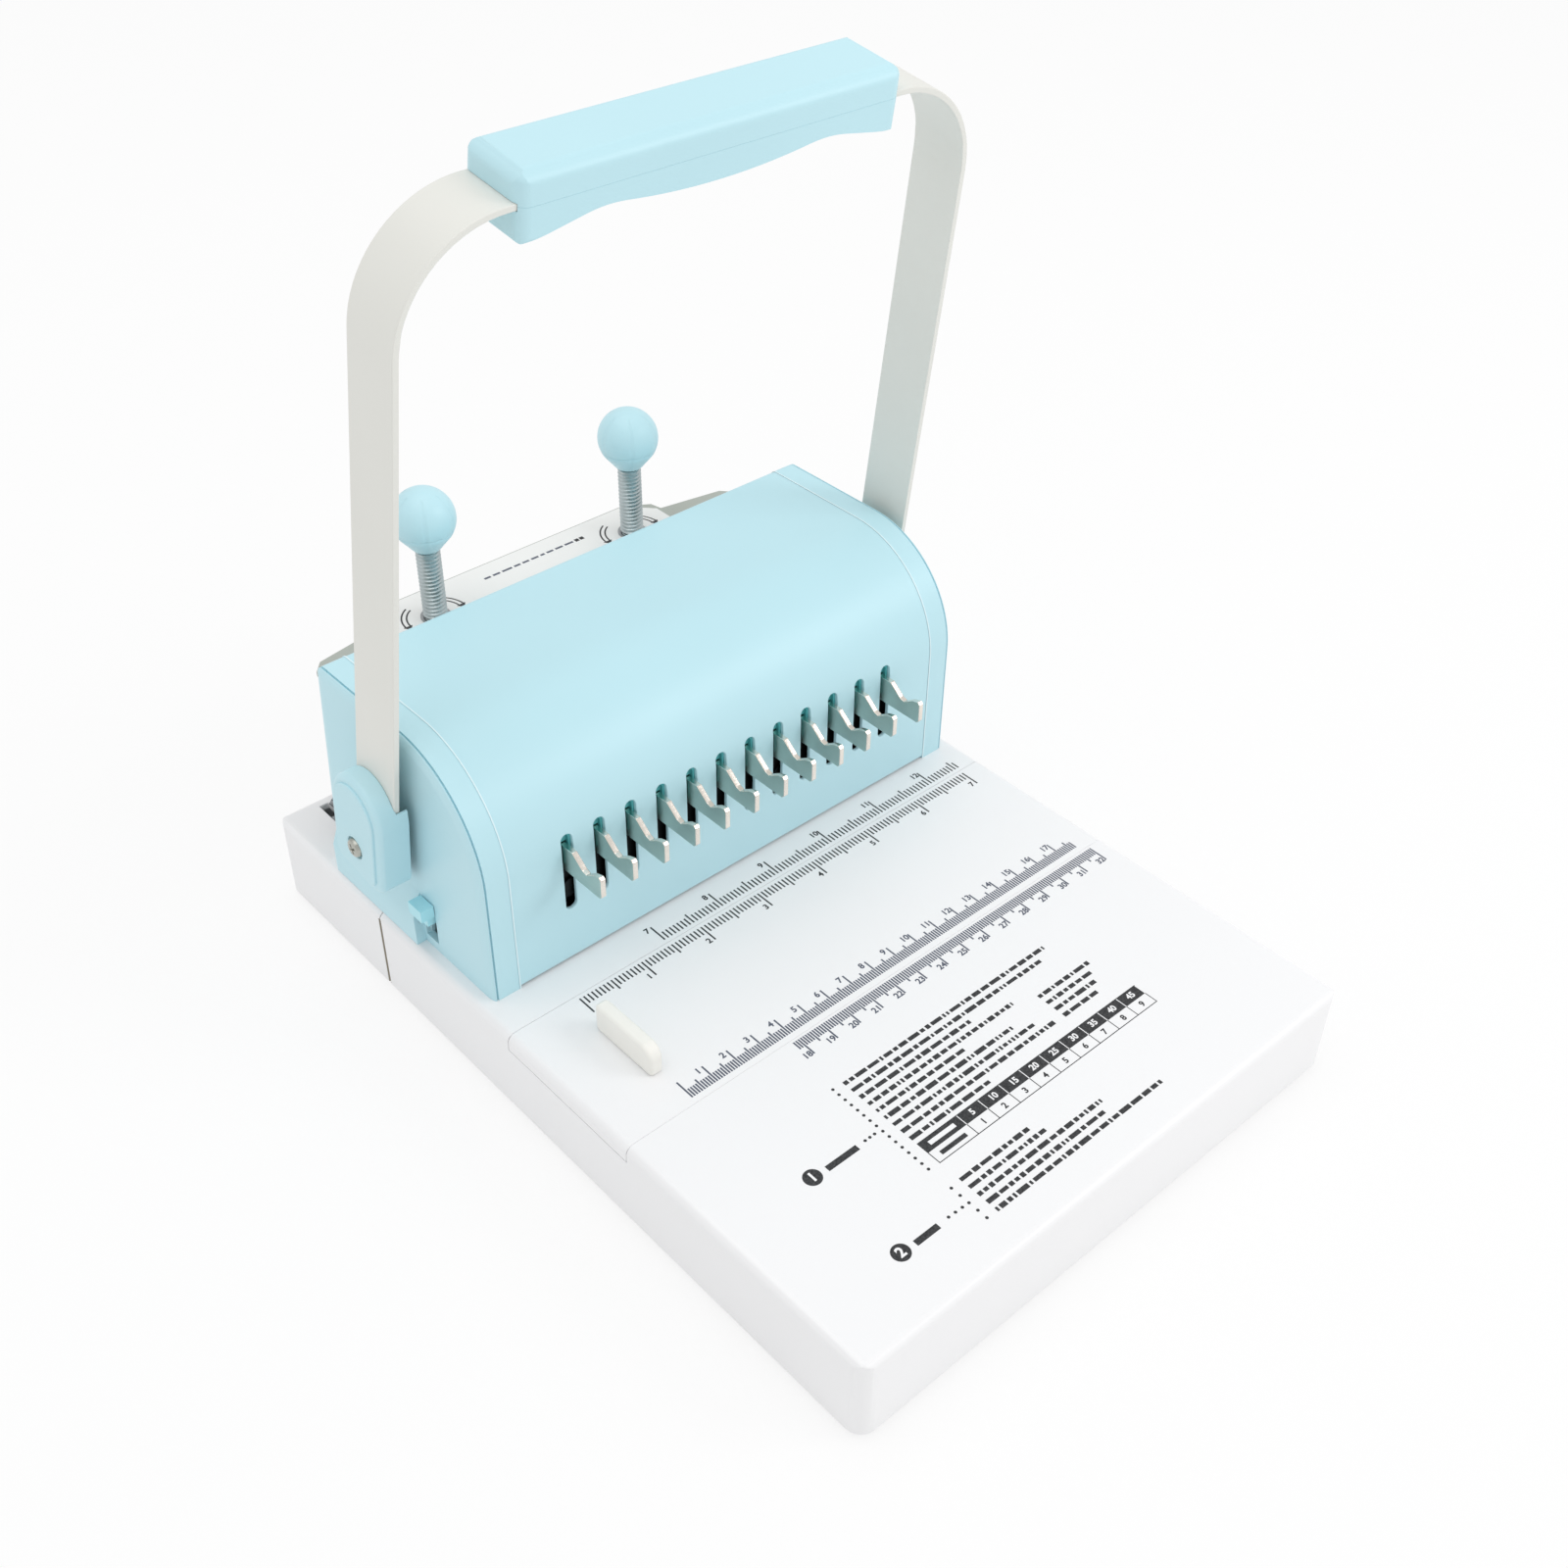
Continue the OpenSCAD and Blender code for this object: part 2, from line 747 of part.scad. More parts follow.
module left_end_cap() {
    color(BLUE) difference() {
        mirror([1, 0, 0]) end_cap();
        block(-base_w, -frame_out, tab_y - tab_slot_half, tab_y + tab_slot_half,
            base_top - 1, tab_z + tab_h / 2);
    }
}

module cap_screws() {
    color(NICKEL) both_sides() for (p = cap_holes)
        translate([frame_in, p[0], p[1]]) rotate([0, -90, 0]) pan_screw(m4_r, frame_t + 4);
}

// Handle

function bend_x() = strap_x - bend_r / cos(flare) - (strap_top - bend_r) * tan(flare);

// Half of the strap's outline in X-Z of the handle's frame
module strap_half() {
    n = [cos(flare), sin(flare)];
    centre = [bend_x(), strap_top - bend_r];
    outer_end = [strap_x + arm_tail * tan(flare), -arm_tail];
    polygon([outer_end, centre + bend_r * n, centre + (bend_r - strap_t) * n, outer_end - strap_t * n]);
    intersection() {
        translate(centre) difference() {
            circle(bend_r, $fn = 96);
            circle(bend_r - strap_t, $fn = 96);
        }
        polygon([centre, centre + 2 * bend_r * n, centre + 2 * bend_r * [1, 1],
            centre + 2 * bend_r * [0, 1]]);
    }
    translate([0, strap_top - strap_t]) square([bend_x(), strap_t]);
}

grip_len = round(2 * (bend_x() - grip_end_gap));
grip_screw_x = grip_len / 2 - 20;

module handle_strap() {
    color(STRAP) at_pivot() difference() {
        along_y(-strap_w / 2 - strap_shift, strap_w / 2 - strap_shift) {
            strap_half();
            mirror([1, 0]) strap_half();
        }
        block(-base_w, base_w, -spigot / 2 - run_gap, spigot / 2 + run_gap, -spigot / 2 - run_gap,
            spigot / 2 + run_gap);
        for (x = [-grip_screw_x, grip_screw_x])
            translate([x, -strap_shift, strap_top / 2]) cylinder(r = m4_hole, h = strap_top);
    }
}

// Moves the grip's own frame to the middle of the strap
module at_grip() {
    at_pivot() translate([0, -strap_shift, 0]) children();
}

// Body of the grip between two heights, rounded at its corners and round its top
module grip_form(low, high, crown) {
    corner = 4;
    intersection() {
        along_z(low, high) translate([0, -grip_w / 2]) round_rect(grip_len, grip_w, corner);
        along_x(-grip_len / 2, grip_len / 2) translate([0, low]) crown_rect(grip_w, high - low, crown);
        along_y(-grip_w / 2, grip_w / 2) translate([0, low]) crown_rect(grip_len, high - low, crown);
    }
}

// Room for the strap between the two halves of the grip
module strap_room() {
    room = strap_w / 2 + 0.2;
    block(-grip_len, grip_len, -room, room, strap_top - strap_t - 0.1, strap_top + 0.1);
}

module grip_upper() {
    color(BLUE) at_grip() difference() {
        grip_form(strap_top - strap_sink, strap_top + grip_up, grip_crown);
        strap_room();
        for (x = [-grip_screw_x, grip_screw_x])
            translate([x, 0, strap_top - 1]) cylinder(r = m4_hole, h = 6);
    }
}

// Side form of the lower half: a round belly between two finger hollows
module grip_belly() {
    low = strap_top - grip_down;
    split = strap_top - strap_sink;
    crest_z = strap_top - 5.8;
    belly_low = low + 1.7;
    sag = crest_z - belly_low;
    crest_x = grip_len * 0.29;
    belly_r = (crest_x * crest_x + sag * sag) / (2 * sag);
    along_y(-grip_w / 2, grip_w / 2) intersection() {
        translate([0, belly_low + belly_r]) circle(belly_r, $fn = 240);
        translate([-crest_x, belly_low]) square([2 * crest_x, split - belly_low]);
    }
    both_sides() along_y(-grip_w / 2, grip_w / 2) polygon([[crest_x, crest_z], [grip_len / 2 - 2, low],
        [grip_len / 2, low], [grip_len / 2, split], [crest_x / 2, split]]);
}

module grip_lower() {
    low = strap_top - grip_down;
    split = strap_top - strap_sink;
    color(BLUE) at_grip() difference() {
        intersection() {
            translate([0, 0, low + split]) mirror([0, 0, 1]) grip_form(low, split, grip_foot_r);
            grip_belly();
        }
        strap_room();
        for (x = [-grip_screw_x, grip_screw_x]) translate([x, 0, 0]) {
            cylinder(r = m4_hole, h = strap_top);
            cylinder(r = head_r + 0.3, h = strap_top - strap_t - grip_web);
        }
    }
}

module grip_screws() {
    reach = strap_t + grip_web + 4;
    color(NICKEL) at_grip() for (x = [-grip_screw_x, grip_screw_x])
        translate([x, 0, strap_top - strap_t - grip_web]) mirror([0, 0, 1]) pan_screw(m4_r, reach);
}

// Arched block of a pivot cap in the handle's frame, with two rounded corners at its foot
module arch(x0, x1, inset) {
    r = pivot_cap_r - inset;
    foot = -pivot_cap_low + inset;
    corner = pivot_corner_r - inset / 2;
    rod_x(x0, x1, 0, pivot_cap_rise, r);
    block(x0, x1, -r, r, foot + corner, pivot_cap_rise);
    block(x0, x1, -r + corner, r - corner, foot, pivot_cap_rise);
    for (y = [-r + corner, r - corner]) rod_x(x0, x1, y, foot + corner, corner);
}

module pivot_cap() {
    room = strap_w / 2 + 0.3;
    inner_x = half_w + cap_gap;
    low = -pivot_cap_low + 2.5;
    high = 4 * pivot_cap_r;
    side = strap_x + seat_gap;
    difference() {
        union() {
            arch(side - (pivot_cap_rise + pivot_cap_r) * tan(flare), pivot_cap_out, 0);
            arch(pivot_cap_out - 1, pivot_cap_out + pivot_face_t, pivot_face_inset);
            intersection() {
                arch(inner_x, side, 0);
                block(0, base_w, -base_d, base_d, -base_h, pivot_wall_top);
            }
        }
        along_y(-room - strap_shift, room - strap_shift) polygon([[0, low],
            [side - low * tan(flare), low], [side - high * tan(flare), high], [0, high]]);
        rod_x(0, base_w, 0, 0, m4_hole);
        rod_x(pivot_seat, base_w, 0, 0, head_r + 0.4);
    }
}

module right_pivot_cap() {
    color(BLUE) at_pivot() pivot_cap();
}

module left_pivot_cap() {
    color(BLUE) at_pivot() mirror([1, 0, 0]) pivot_cap();
}

pivot_seat = pivot_cap_out + pivot_face_t - screw_sink;
thread_depth = 10;

module pivot_screws() {
    color(NICKEL) at_pivot() both_sides() translate([pivot_seat, 0, 0]) rotate([0, 90, 0])
        pan_screw(m4_r, pivot_seat - shoulder_x + thread_depth - 1);
}

module axle() {
    spigot_end = strap_x - 0.3;
    color(NICKEL) at_pivot() difference() {
        union() {
            rod_x(-shoulder_x, shoulder_x, 0, 0, axle_r);
            both_sides() block(shoulder_x - 0.5, spigot_end, -spigot / 2, spigot / 2,
                -spigot / 2, spigot / 2);
        }
        both_sides() rod_x(shoulder_x - thread_depth, base_w, 0, 0, m4_hole);
    }
}

// Point of the cam's involute that meets the bar after a turn in degrees
function cam_point(turn) = let (roll = cam_start + turn * PI / 180)
    cam_k * [-cos(turn) - roll * sin(turn), sin(turn) - roll * cos(turn)];

module cam(x0) {
    step = 6;
    first = -7 * step;
    last = cam_travel + step - cam_travel % step;
    translate([0, pivot_y, pivot_z]) difference() {
        union() {
            along_x(x0, x0 + cam_t) circle(cam_k);
            along_x(x0, x0 + cam_t)
                polygon([for (turn = [first : step : last]) cam_point(turn), [0, cam_k - 1], [1, 0]]);
        }
        rod_x(-base_w, base_w, 0, 0, axle_r + seat_gap);
    }
}

module right_cam() {
    color(STEEL) cam(cam_x);
}

module left_cam() {
    color(STEEL) cam(-cam_x - cam_t);
}

// Punch bar and hooks

module punch_bar() {
    color(STEEL) difference() {
        block(-guide_x - 8, guide_x + 8, bar_front, bar_rear, bar_bottom, bar_top);
        both_sides() translate([guide_x, guide_y, 0]) {
            cylinder(r = rod_r + run_gap, h = house_top);
            cylinder(r = spring_pocket_r, h = bar_bottom + spring_pocket);
        }
        for (x = hook_screw_x) rod_y(bar_front - 1, bar_front + 9, x, hook_screw_z, m4_hole);
    }
}

module punches() {
    tip = stripper_z + 0.6;
    color(NICKEL) for (x = row) translate([x, punch_y, 0])
        block(-punch_w / 2, punch_w / 2, -punch_d / 2, punch_d / 2, tip, bar_bottom);
}

hook_screw_x = [-68, -23, 23, 68];
hook_screw_z = bar_bottom + bar_t / 2;

module hook_bar() {
    half = row[hook_count - 1] + 8;
    color(STEEL) difference() {
        block(-half, half, hook_bar_y, bar_front, bar_bottom, hook_bar_top);
        for (x = hook_screw_x) rod_y(0, bar_front + 1, x, hook_screw_z, m4_hole);
    }
}

// Side outline of a hook: a deep root, a sloping neck to a waist, and an upturned tip
module hook_profile() {
    tip_y = house_front - hook_reach;
    tip_t = 4;
    root_y = house_front - 3.5;
    waist_y = tip_y + 0.42 * hook_reach;
    polygon([[hook_bar_y, hook_z], [tip_y + 1, hook_z], [tip_y, hook_z + 1], [tip_y, hook_z + hook_tip_h - 1],
        [tip_y + 1, hook_z + hook_tip_h], [tip_y + tip_t, hook_z + hook_tip_h - 1],
        [waist_y, hook_z + hook_waist_h], [waist_y + 2, hook_z + hook_waist_h + 0.6],
        [root_y, hook_z + hook_root_h], [hook_bar_y, hook_z + hook_root_h]]);
}

module comb_hooks() {
    color(NICKEL) for (x = row) along_x(x - hook_t / 2, x + hook_t / 2) hook_profile();
}

module hook_screws() {
    color(NICKEL) for (x = hook_screw_x) translate([x, hook_bar_y, hook_screw_z]) rotate([90, 0, 0])
        intersection() {
            pan_screw(m4_r, hook_bar_t + 8);
            translate([0, 0, -20]) cylinder(r = head_r, h = 20 + 1);
        }
}

// Selector and backstop

module selector_tab() {
    inside = link_x + link_t + 0.5;
    wall_in = half_w - panel_t - cap_wall;
    half = tab_h / 2;
    front = tab_y - tab_w / 2;
    rear = tab_y + tab_w / 2;
    stem_low = tab_z - half - 4;
    color(BLUE) {
        block(-half_w - tab_out, -half_w - slide_gap, front, rear, tab_z - half, tab_z + half);
        block(-half_w - 2.5, -wall_in + 1, tab_y - stem_w / 2, tab_y + stem_w / 2,
            stem_low, tab_z + half - 0.6);
        block(-wall_in + slide_gap, -inside, front, rear, stem_low, tab_z + half);
        rod_x(-inside - 1, -link_x + 1, tab_y, tab_z, peg_r);
    }
}

// Slot for the selector's peg, leaning so that the peg's fall moves the stop back
module peg_slot() {
    half = peg_r + 0.2;
    run = [-stop_ratio, -1] * tab_travel;
    translate([tab_y, tab_z]) rotate(atan2(run[1], run[0])) translate([-half, -half])
        square([norm(run) + 2 * half, 2 * half]);
}

module paper_backstop() {
    low = base_top + 0.2;
    link_h = tab_z + 6;
    color(STEEL) {
        block(-link_x, frame_in - 6, backstop_y, backstop_y + backstop_t, low, stripper_z - 0.2);
        along_x(-link_x - link_t, -link_x) difference() {
            translate([backstop_y, low]) square([tab_y + 5 - backstop_y, link_h - low]);
            peg_slot();
        }
    }
}

// Closing press

module shelf_outline() {
    notch_y = rear_y(shelf_top - shelf_t) + 0.5;
    wing = frame_in + 2.3;
    wing_y = back - 11.5;
    ear = knob_x + 18.5;
    right = [[frame_in, web_y], [frame_in, notch_y], [wing, notch_y], [wing, wing_y - 9],
        [wing - 4, wing_y - 4.5], [ear + 1, wing_y], [ear, shelf_rear - 6], [ear - 9.5, shelf_rear]];
    polygon(concat(right, [for (i = [len(right) - 1 : -1 : 0]) [-right[i][0], right[i][1]]]));
}

module rear_bracket() {
    color("#c2c6c0") difference() {
        union() {
            along_z(shelf_top - shelf_t, shelf_top) shelf_outline();
            block(-frame_in, frame_in, web_y, web_y + web_t, base_top + 10, shelf_top);
        }
        both_sides() translate([knob_x, knob_y, 0]) cylinder(r = screw_r + 1 + seat_gap, h = house_top);
        both_sides() for (z = tab_screw_z) rod_y(0, base_d, frame_in - 5, z, m4_hole);
    }
}

module bracket_screws() {
    color(NICKEL) both_sides() for (z = tab_screw_z)
        translate([frame_in - 5, web_y + web_t, z]) rotate([-90, 0, 0]) pan_screw(m4_r, web_t + frame_t + 3);
}

module screw_bushes() {
    color(STEEL) both_sides() translate([knob_x, knob_y, 0]) difference() {
        union() {
            translate([0, 0, shelf_top - shelf_t - bush_flange_h])
                cylinder(r = screw_r + 3, h = bush_flange_h);
            translate([0, 0, shelf_top - shelf_t - 1]) cylinder(r = screw_r + 1, h = shelf_t + 1.8);
        }
        cylinder(r = screw_r + run_gap, h = house_top);
    }
}

module anvil_rail() {
    anvil_rear = leg_rear - 1;
    lip_h = 6;
    lug = [14, 8];
    color(STEEL) difference() {
        union() {
            block(-frame_in, frame_in, anvil_front, anvil_rear, anvil_z, anvil_z + anvil_t);
            block(-frame_in, frame_in, anvil_rear - 2.5, anvil_rear, anvil_z, anvil_z + anvil_t + lip_h);
            both_sides() block(frame_in - lug[0], frame_in, anvil_hole[0] - lug[1] / 2,
                anvil_hole[0] + lug[1] / 2, anvil_z, anvil_hole[1] + 3);
        }
        end_holes(anvil_hole);
    }
}

module closing_bar() {
    color(STEEL) difference() {
        block(-closer_half, closer_half, knob_y - closer_d / 2 - 1, knob_y + closer_d / 2 - 1,
            closer_z, closer_top);
        both_sides() translate([knob_x, knob_y, closer_top - foot_pin_len - 0.3])
            cylinder(r = foot_pin_r + run_gap, h = closer_h);
    }
}

// Rings that hold the feet of the screws down on the closing bar
module foot_keepers() {
    color(STEEL) both_sides() translate([knob_x, knob_y - 1, closer_top]) difference() {
        intersection() {
            cylinder(r = keeper_r, h = foot_disc_h + 2.2);
            translate([-keeper_r, -closer_d / 2, 0]) cube([2 * keeper_r, closer_d, closer_h]);
        }
        translate([0, 1, -1]) cylinder(r = foot_disc_r + 0.1, h = foot_disc_h + 1.2);
        translate([0, 1, -1]) cylinder(r = screw_r + 0.1, h = closer_h);
    }
}

module adjusting_screw(x) {
    translate([x, knob_y, closer_top]) {
        cylinder(r = screw_r, h = ball_z - closer_top + 3);
        cylinder(r = foot_disc_r, h = foot_disc_h);
        translate([0, 0, -foot_pin_len]) cylinder(r = foot_pin_r, h = foot_pin_len + 1);
    }
}

module left_adjusting_screw() {
    color(STEEL) adjusting_screw(-knob_x);
}

module right_adjusting_screw() {
    color(STEEL) adjusting_screw(knob_x);
}

module ball_knob(x) {
    taper_z = 0.55 * ball_r;
    taper_r = sqrt(ball_r * ball_r - taper_z * taper_z);
    translate([x, knob_y, ball_z]) difference() {
        union() {
            sphere(ball_r);
            translate([0, 0, -ball_r - 0.4])
                cylinder(r1 = screw_r + 0.9, r2 = taper_r, h = ball_r + 0.4 - taper_z);
        }
        translate([0, 0, -2 * ball_r]) cylinder(r = screw_r + seat_gap, h = 2 * ball_r + 3.2);
    }
}

module left_ball_knob() {
    color(BLUE) ball_knob(-knob_x);
}

module right_ball_knob() {
    color(BLUE) ball_knob(knob_x);
}

base_shell();
bottom_plate();
rubber_feet();
base_screws();
guide_strip();
edge_stop();
chip_drawer();
left_side_frame();
right_side_frame();
die_plate();
stripper_plate();
guide_rods();
return_springs();
tie_bar();
frame_screws();
slotted_cover();
cover_screws();
left_end_cap();
right_end_cap();
cap_screws();
rear_bracket();
bracket_screws();
screw_bushes();
anvil_rail();
axle_bushes();
punch_bar();
punches();
hook_bar();
comb_hooks();
hook_screws();
handle_strap();
grip_upper();
grip_lower();
grip_screws();
left_pivot_cap();
right_pivot_cap();
pivot_screws();
axle();
left_cam();
right_cam();
selector_tab();
paper_backstop();
closing_bar();
foot_keepers();
left_adjusting_screw();
right_adjusting_screw();
left_ball_knob();
right_ball_knob();
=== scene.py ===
"""Looks of a desk machine that punches sheets, opens binding combs and closes wire loops."""

import json
import logging
import math
import random
from dataclasses import dataclass, field
from enum import Enum
from typing import Any, Callable, Iterable, Optional, Sequence, Union

import bmesh
import bpy
from mathutils import Matrix, Vector
from mathutils.bvhtree import BVHTree
from mathutils.kdtree import KDTree


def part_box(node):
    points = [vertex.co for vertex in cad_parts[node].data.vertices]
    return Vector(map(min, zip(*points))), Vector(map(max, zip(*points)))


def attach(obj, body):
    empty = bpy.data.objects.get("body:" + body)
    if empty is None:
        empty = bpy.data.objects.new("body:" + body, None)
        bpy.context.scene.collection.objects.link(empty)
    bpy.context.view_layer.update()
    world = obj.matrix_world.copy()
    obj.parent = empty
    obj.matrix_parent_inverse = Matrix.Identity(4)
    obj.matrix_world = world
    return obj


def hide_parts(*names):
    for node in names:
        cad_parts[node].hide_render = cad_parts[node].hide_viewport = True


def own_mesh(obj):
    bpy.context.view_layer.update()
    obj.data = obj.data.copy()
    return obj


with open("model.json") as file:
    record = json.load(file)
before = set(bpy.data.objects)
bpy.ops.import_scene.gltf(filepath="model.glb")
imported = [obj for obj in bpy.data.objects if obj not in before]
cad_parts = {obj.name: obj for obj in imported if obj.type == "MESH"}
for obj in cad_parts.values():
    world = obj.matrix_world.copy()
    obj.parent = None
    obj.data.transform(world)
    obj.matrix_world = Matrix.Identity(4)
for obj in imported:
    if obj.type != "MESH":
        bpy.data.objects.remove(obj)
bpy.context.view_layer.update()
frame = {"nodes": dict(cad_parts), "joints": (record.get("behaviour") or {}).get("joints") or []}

MM = 0.001
INCH = 25.4 * MM
CENTIMETRE = 10 * MM
FILM = 0.03 * MM
SAME = 0.05 * MM
SOLID_WELD = 0.0005 * MM
CUT_WELD = 0.001 * MM
SPIN_WELD = 0.002 * MM
CAP_WELD = 0.01 * MM
FLAT = math.radians(0.6)
SIDES = ((-1, "left"), (1, "right"))
LOG = logging.getLogger("binder")
Colour = tuple[float, float, float]
Point = tuple[float, float]
Pick = Callable[[bmesh.types.BMEdge], bool]


class Body(Enum):
    """Moving bodies of the machine that new pieces ride on."""

    CHASSIS = "chassis"
    HANDLE = "handle"
    PRESS = "press"
    STRIP = "strip"
    DRAWER = "drawer"
    SELECTOR = "selector"
    LEFT_ADJUSTER = "left_adjuster"
    RIGHT_ADJUSTER = "right_adjuster"


ADJUSTERS = (("left", Body.LEFT_ADJUSTER), ("right", Body.RIGHT_ADJUSTER))


def srgb(code: str) -> Colour:
    """Turns a colour code such as "b5e3ee" into linear light.

    Args:
        code: Six hexadecimal digits.

    Returns:
        Red, green and blue between 0 and 1.
    """
    parts = [int(code[i:i + 2], 16) / 255 for i in (0, 2, 4)]
    return tuple(p / 12.92 if p <= 0.04045 else ((p + 0.055) / 1.055) ** 2.4 for p in parts)


class Value:
    """A number on a socket that takes part in Python arithmetic."""

    def __init__(self, shader: "Shader", socket: Optional[bpy.types.NodeSocket]) -> None:
        """Wraps a socket of a shader's tree."""
        self.shader = shader
        self.socket = socket

    def _math(self, operation: str, other: Any) -> "Value":
        """Adds one Math node.

        Args:
            operation: Name of the Math node's operation.
            other: Second operand.

        Returns:
            The node's result.
        """
        return self.shader.node("ShaderNodeMath", {"operation": operation}, {0: self, 1: other})

    def __add__(self, other: Any) -> "Value":
        """Adds."""
        return self._math("ADD", other)

    __radd__ = __add__

    def __sub__(self, other: Any) -> "Value":
        """Subtracts."""
        return self._math("SUBTRACT", other)

    def __mul__(self, other: Any) -> "Value":
        """Multiplies."""
        return self._math("MULTIPLY", other)

    __rmul__ = __mul__


class Shader:
    """The node tree of one material, built round a Principled shader."""

    def __init__(self, name: str) -> None:
        """Starts a material with a name and an empty tree."""
        self.material = bpy.data.materials.new(name)
        self.material.use_nodes = True
        self.tree = self.material.node_tree
        self.tree.nodes.clear()
        self.coords = self.node("ShaderNodeTexCoord", output="Object")

    def node(self, kind: str, settings: Optional[dict] = None, inputs: Optional[dict] = None,
             output: Union[str, int] = 0) -> Value:
        """Adds a node of any kind.

        Args:
            kind: The node's type.
            settings: Properties, set before the inputs.
            inputs: Values or links by socket name or number.
            output: The socket to hand back.

        Returns:
            The chosen output.
        """
        made = self.tree.nodes.new(kind)
        for key, setting in (settings or {}).items():
            setattr(made, key, setting)
        for key, value in (inputs or {}).items():
            if isinstance(value, Value):
                self.tree.links.new(value.socket, made.inputs[key])
            elif isinstance(value, tuple) and len(value) == 3 and made.inputs[key].type == "RGBA":
                made.inputs[key].default_value = (*value, 1.0)
            else:
                made.inputs[key].default_value = value
        return Value(self, made.outputs[output] if made.outputs else None)

    def noise(self, scale: float, detail: float, stretch: Colour = (1, 1, 1)) -> Value:
        """Gives noise on the piece's own coordinates.

        Args:
            scale: Features for each metre.
            detail: Octaves of the noise.
            stretch: Scale along each axis, for streaks.

        Returns:
            Values round 0.5.
        """
        place = self.node("ShaderNodeMapping", {}, {"Vector": self.coords, "Scale": stretch}, "Vector")
        return self.node("ShaderNodeTexNoise", {}, {"Vector": place, "Scale": scale, "Detail": detail}, "Fac")

    def blend(self, factor: Value, low: Colour, high: Colour) -> Value:
        """Mixes two colours by a factor."""
        return self.node("ShaderNodeMix", {"data_type": "RGBA"}, {0: factor, 6: low, 7: high}, 2)

    def ramp(self, factor: Value, low: float, high: float) -> Value:
        """Spreads a factor between two places to the range 0 to 1."""
        return self.node("ShaderNodeMapRange", {"clamp": True}, {0: factor, 1: low, 2: high})

    def bump(self, height: Value, depth: float, strength: float) -> Value:
        """Turns a height into a normal, with a depth in metres."""
        return self.node("ShaderNodeBump", {}, {"Height": height, "Distance": depth, "Strength": strength})

    def surface(self, inputs: dict) -> bpy.types.Material:
        """Closes the tree with a Principled shader.

        Args:
            inputs: Values or links of the shader's sockets.

        Returns:
            The finished material.
        """
        shader = self.node("ShaderNodeBsdfPrincipled", {}, inputs)
        self.node("ShaderNodeOutputMaterial", {}, {"Surface": shader})
        return self.material


@dataclass(frozen=True)
class Finish:
    """A named finish that makes its material once."""

    name: str
    colour: str

    def build(self, shader: Shader) -> bpy.types.Material:
        """Makes the material.

        Args:
            shader: The tree to fill.

        Returns:
            The finished material.
        """
        raise NotImplementedError

    def material(self) -> bpy.types.Material:
        """Gives the material, made on its first use."""
        return bpy.data.materials.get(self.name) or self.build(Shader(self.name))


@dataclass(frozen=True)
class MouldedPlastic(Finish):
    """Satin injection moulding: fine spark grain, faint flow clouds and a soft sheen."""

    roughness: float = 0.38
    clouds: float = 0.035
    grain: float = 0.012 * MM
    flow_scale: float = 9
    grain_scale: float = 2600
    scuff_scale: float = 55
    sheen: float = 0.42

    def build(self, shader: Shader) -> bpy.types.Material:
        """Makes the material from the moulding's colour and grain."""
        base = Vector(srgb(self.colour))
        flow = shader.ramp(shader.noise(self.flow_scale, 3), 0.3, 0.7)
        fine = shader.noise(self.grain_scale, 3)
        scuff = shader.ramp(shader.noise(self.scuff_scale, 6), 0.62, 0.8)
        return shader.surface({
            "Base Color": shader.blend(flow, tuple(base * (1 - self.clouds)), tuple(base)),
            "Roughness": self.roughness + 0.05 * (fine - 0.5) + 0.07 * scuff,
            "Specular IOR Level": self.sheen, "Normal": shader.bump(fine, self.grain, 0.5)})


@dataclass(frozen=True)
class Enamel(Finish):
    """Baked paint on steel: a slight orange peel under a satin skin."""

    roughness: float = 0.4
    peel: float = 0.02 * MM
    peel_scale: float = 700
    cloud_scale: float = 12
    cloud_shade: float = 0.965

    def build(self, shader: Shader) -> bpy.types.Material:
        """Makes the material from the paint's colour and peel."""
        base = Vector(srgb(self.colour))
        peel = shader.noise(self.peel_scale, 2)
        cloud = shader.ramp(shader.noise(self.cloud_scale, 3), 0.3, 0.7)
        return shader.surface({
            "Base Color": shader.blend(cloud, tuple(base * self.cloud_shade), tuple(base)),
            "Roughness": self.roughness + 0.08 * (peel - 0.5), "Normal": shader.bump(peel, self.peel, 0.4)})


@dataclass(frozen=True)
class Plating(Finish):
    """Bare or plated metal with fine rolling streaks along one axis."""

    roughness: float = 0.3
    streak: Colour = (0.05, 1.0, 1.0)
    depth: float = 0.006 * MM
    streak_scale: float = 1900
    haze_scale: float = 60
    haze_shade: float = 0.88

    def build(self, shader: Shader) -> bpy.types.Material:
        """Makes the material from the metal's colour and streaks."""
        base = Vector(srgb(self.colour))
        lines = shader.noise(self.streak_scale, 3, self.streak)
        haze = shader.ramp(shader.noise(self.haze_scale, 4), 0.35, 0.7)
        return shader.surface({
            "Base Color": shader.blend(haze, tuple(base * self.haze_shade), tuple(base)), "Metallic": 1.0,
            "Roughness": self.roughness + 0.16 * (lines - 0.5) + 0.05 * haze,
            "Normal": shader.bump(lines, self.depth, 0.5)})


@dataclass(frozen=True)
class Ink(Finish):
    """Printed ink with a slightly starved, uneven film."""

    starved: float = 0.25
    film_scale: float = 1500

    def build(self, shader: Shader) -> bpy.types.Material:
        """Makes the material from the ink's colour."""
        base = Vector(srgb(self.colour))
        film = shader.ramp(shader.noise(self.film_scale, 3), 0.35, 0.75)
        pale = tuple(c + self.starved * 0.2 * (1 - c) for c in base)
        tone = shader.blend(film, tuple(base), pale)
        return shader.surface({"Base Color": tone, "Roughness": 0.45 + 0.1 * film})


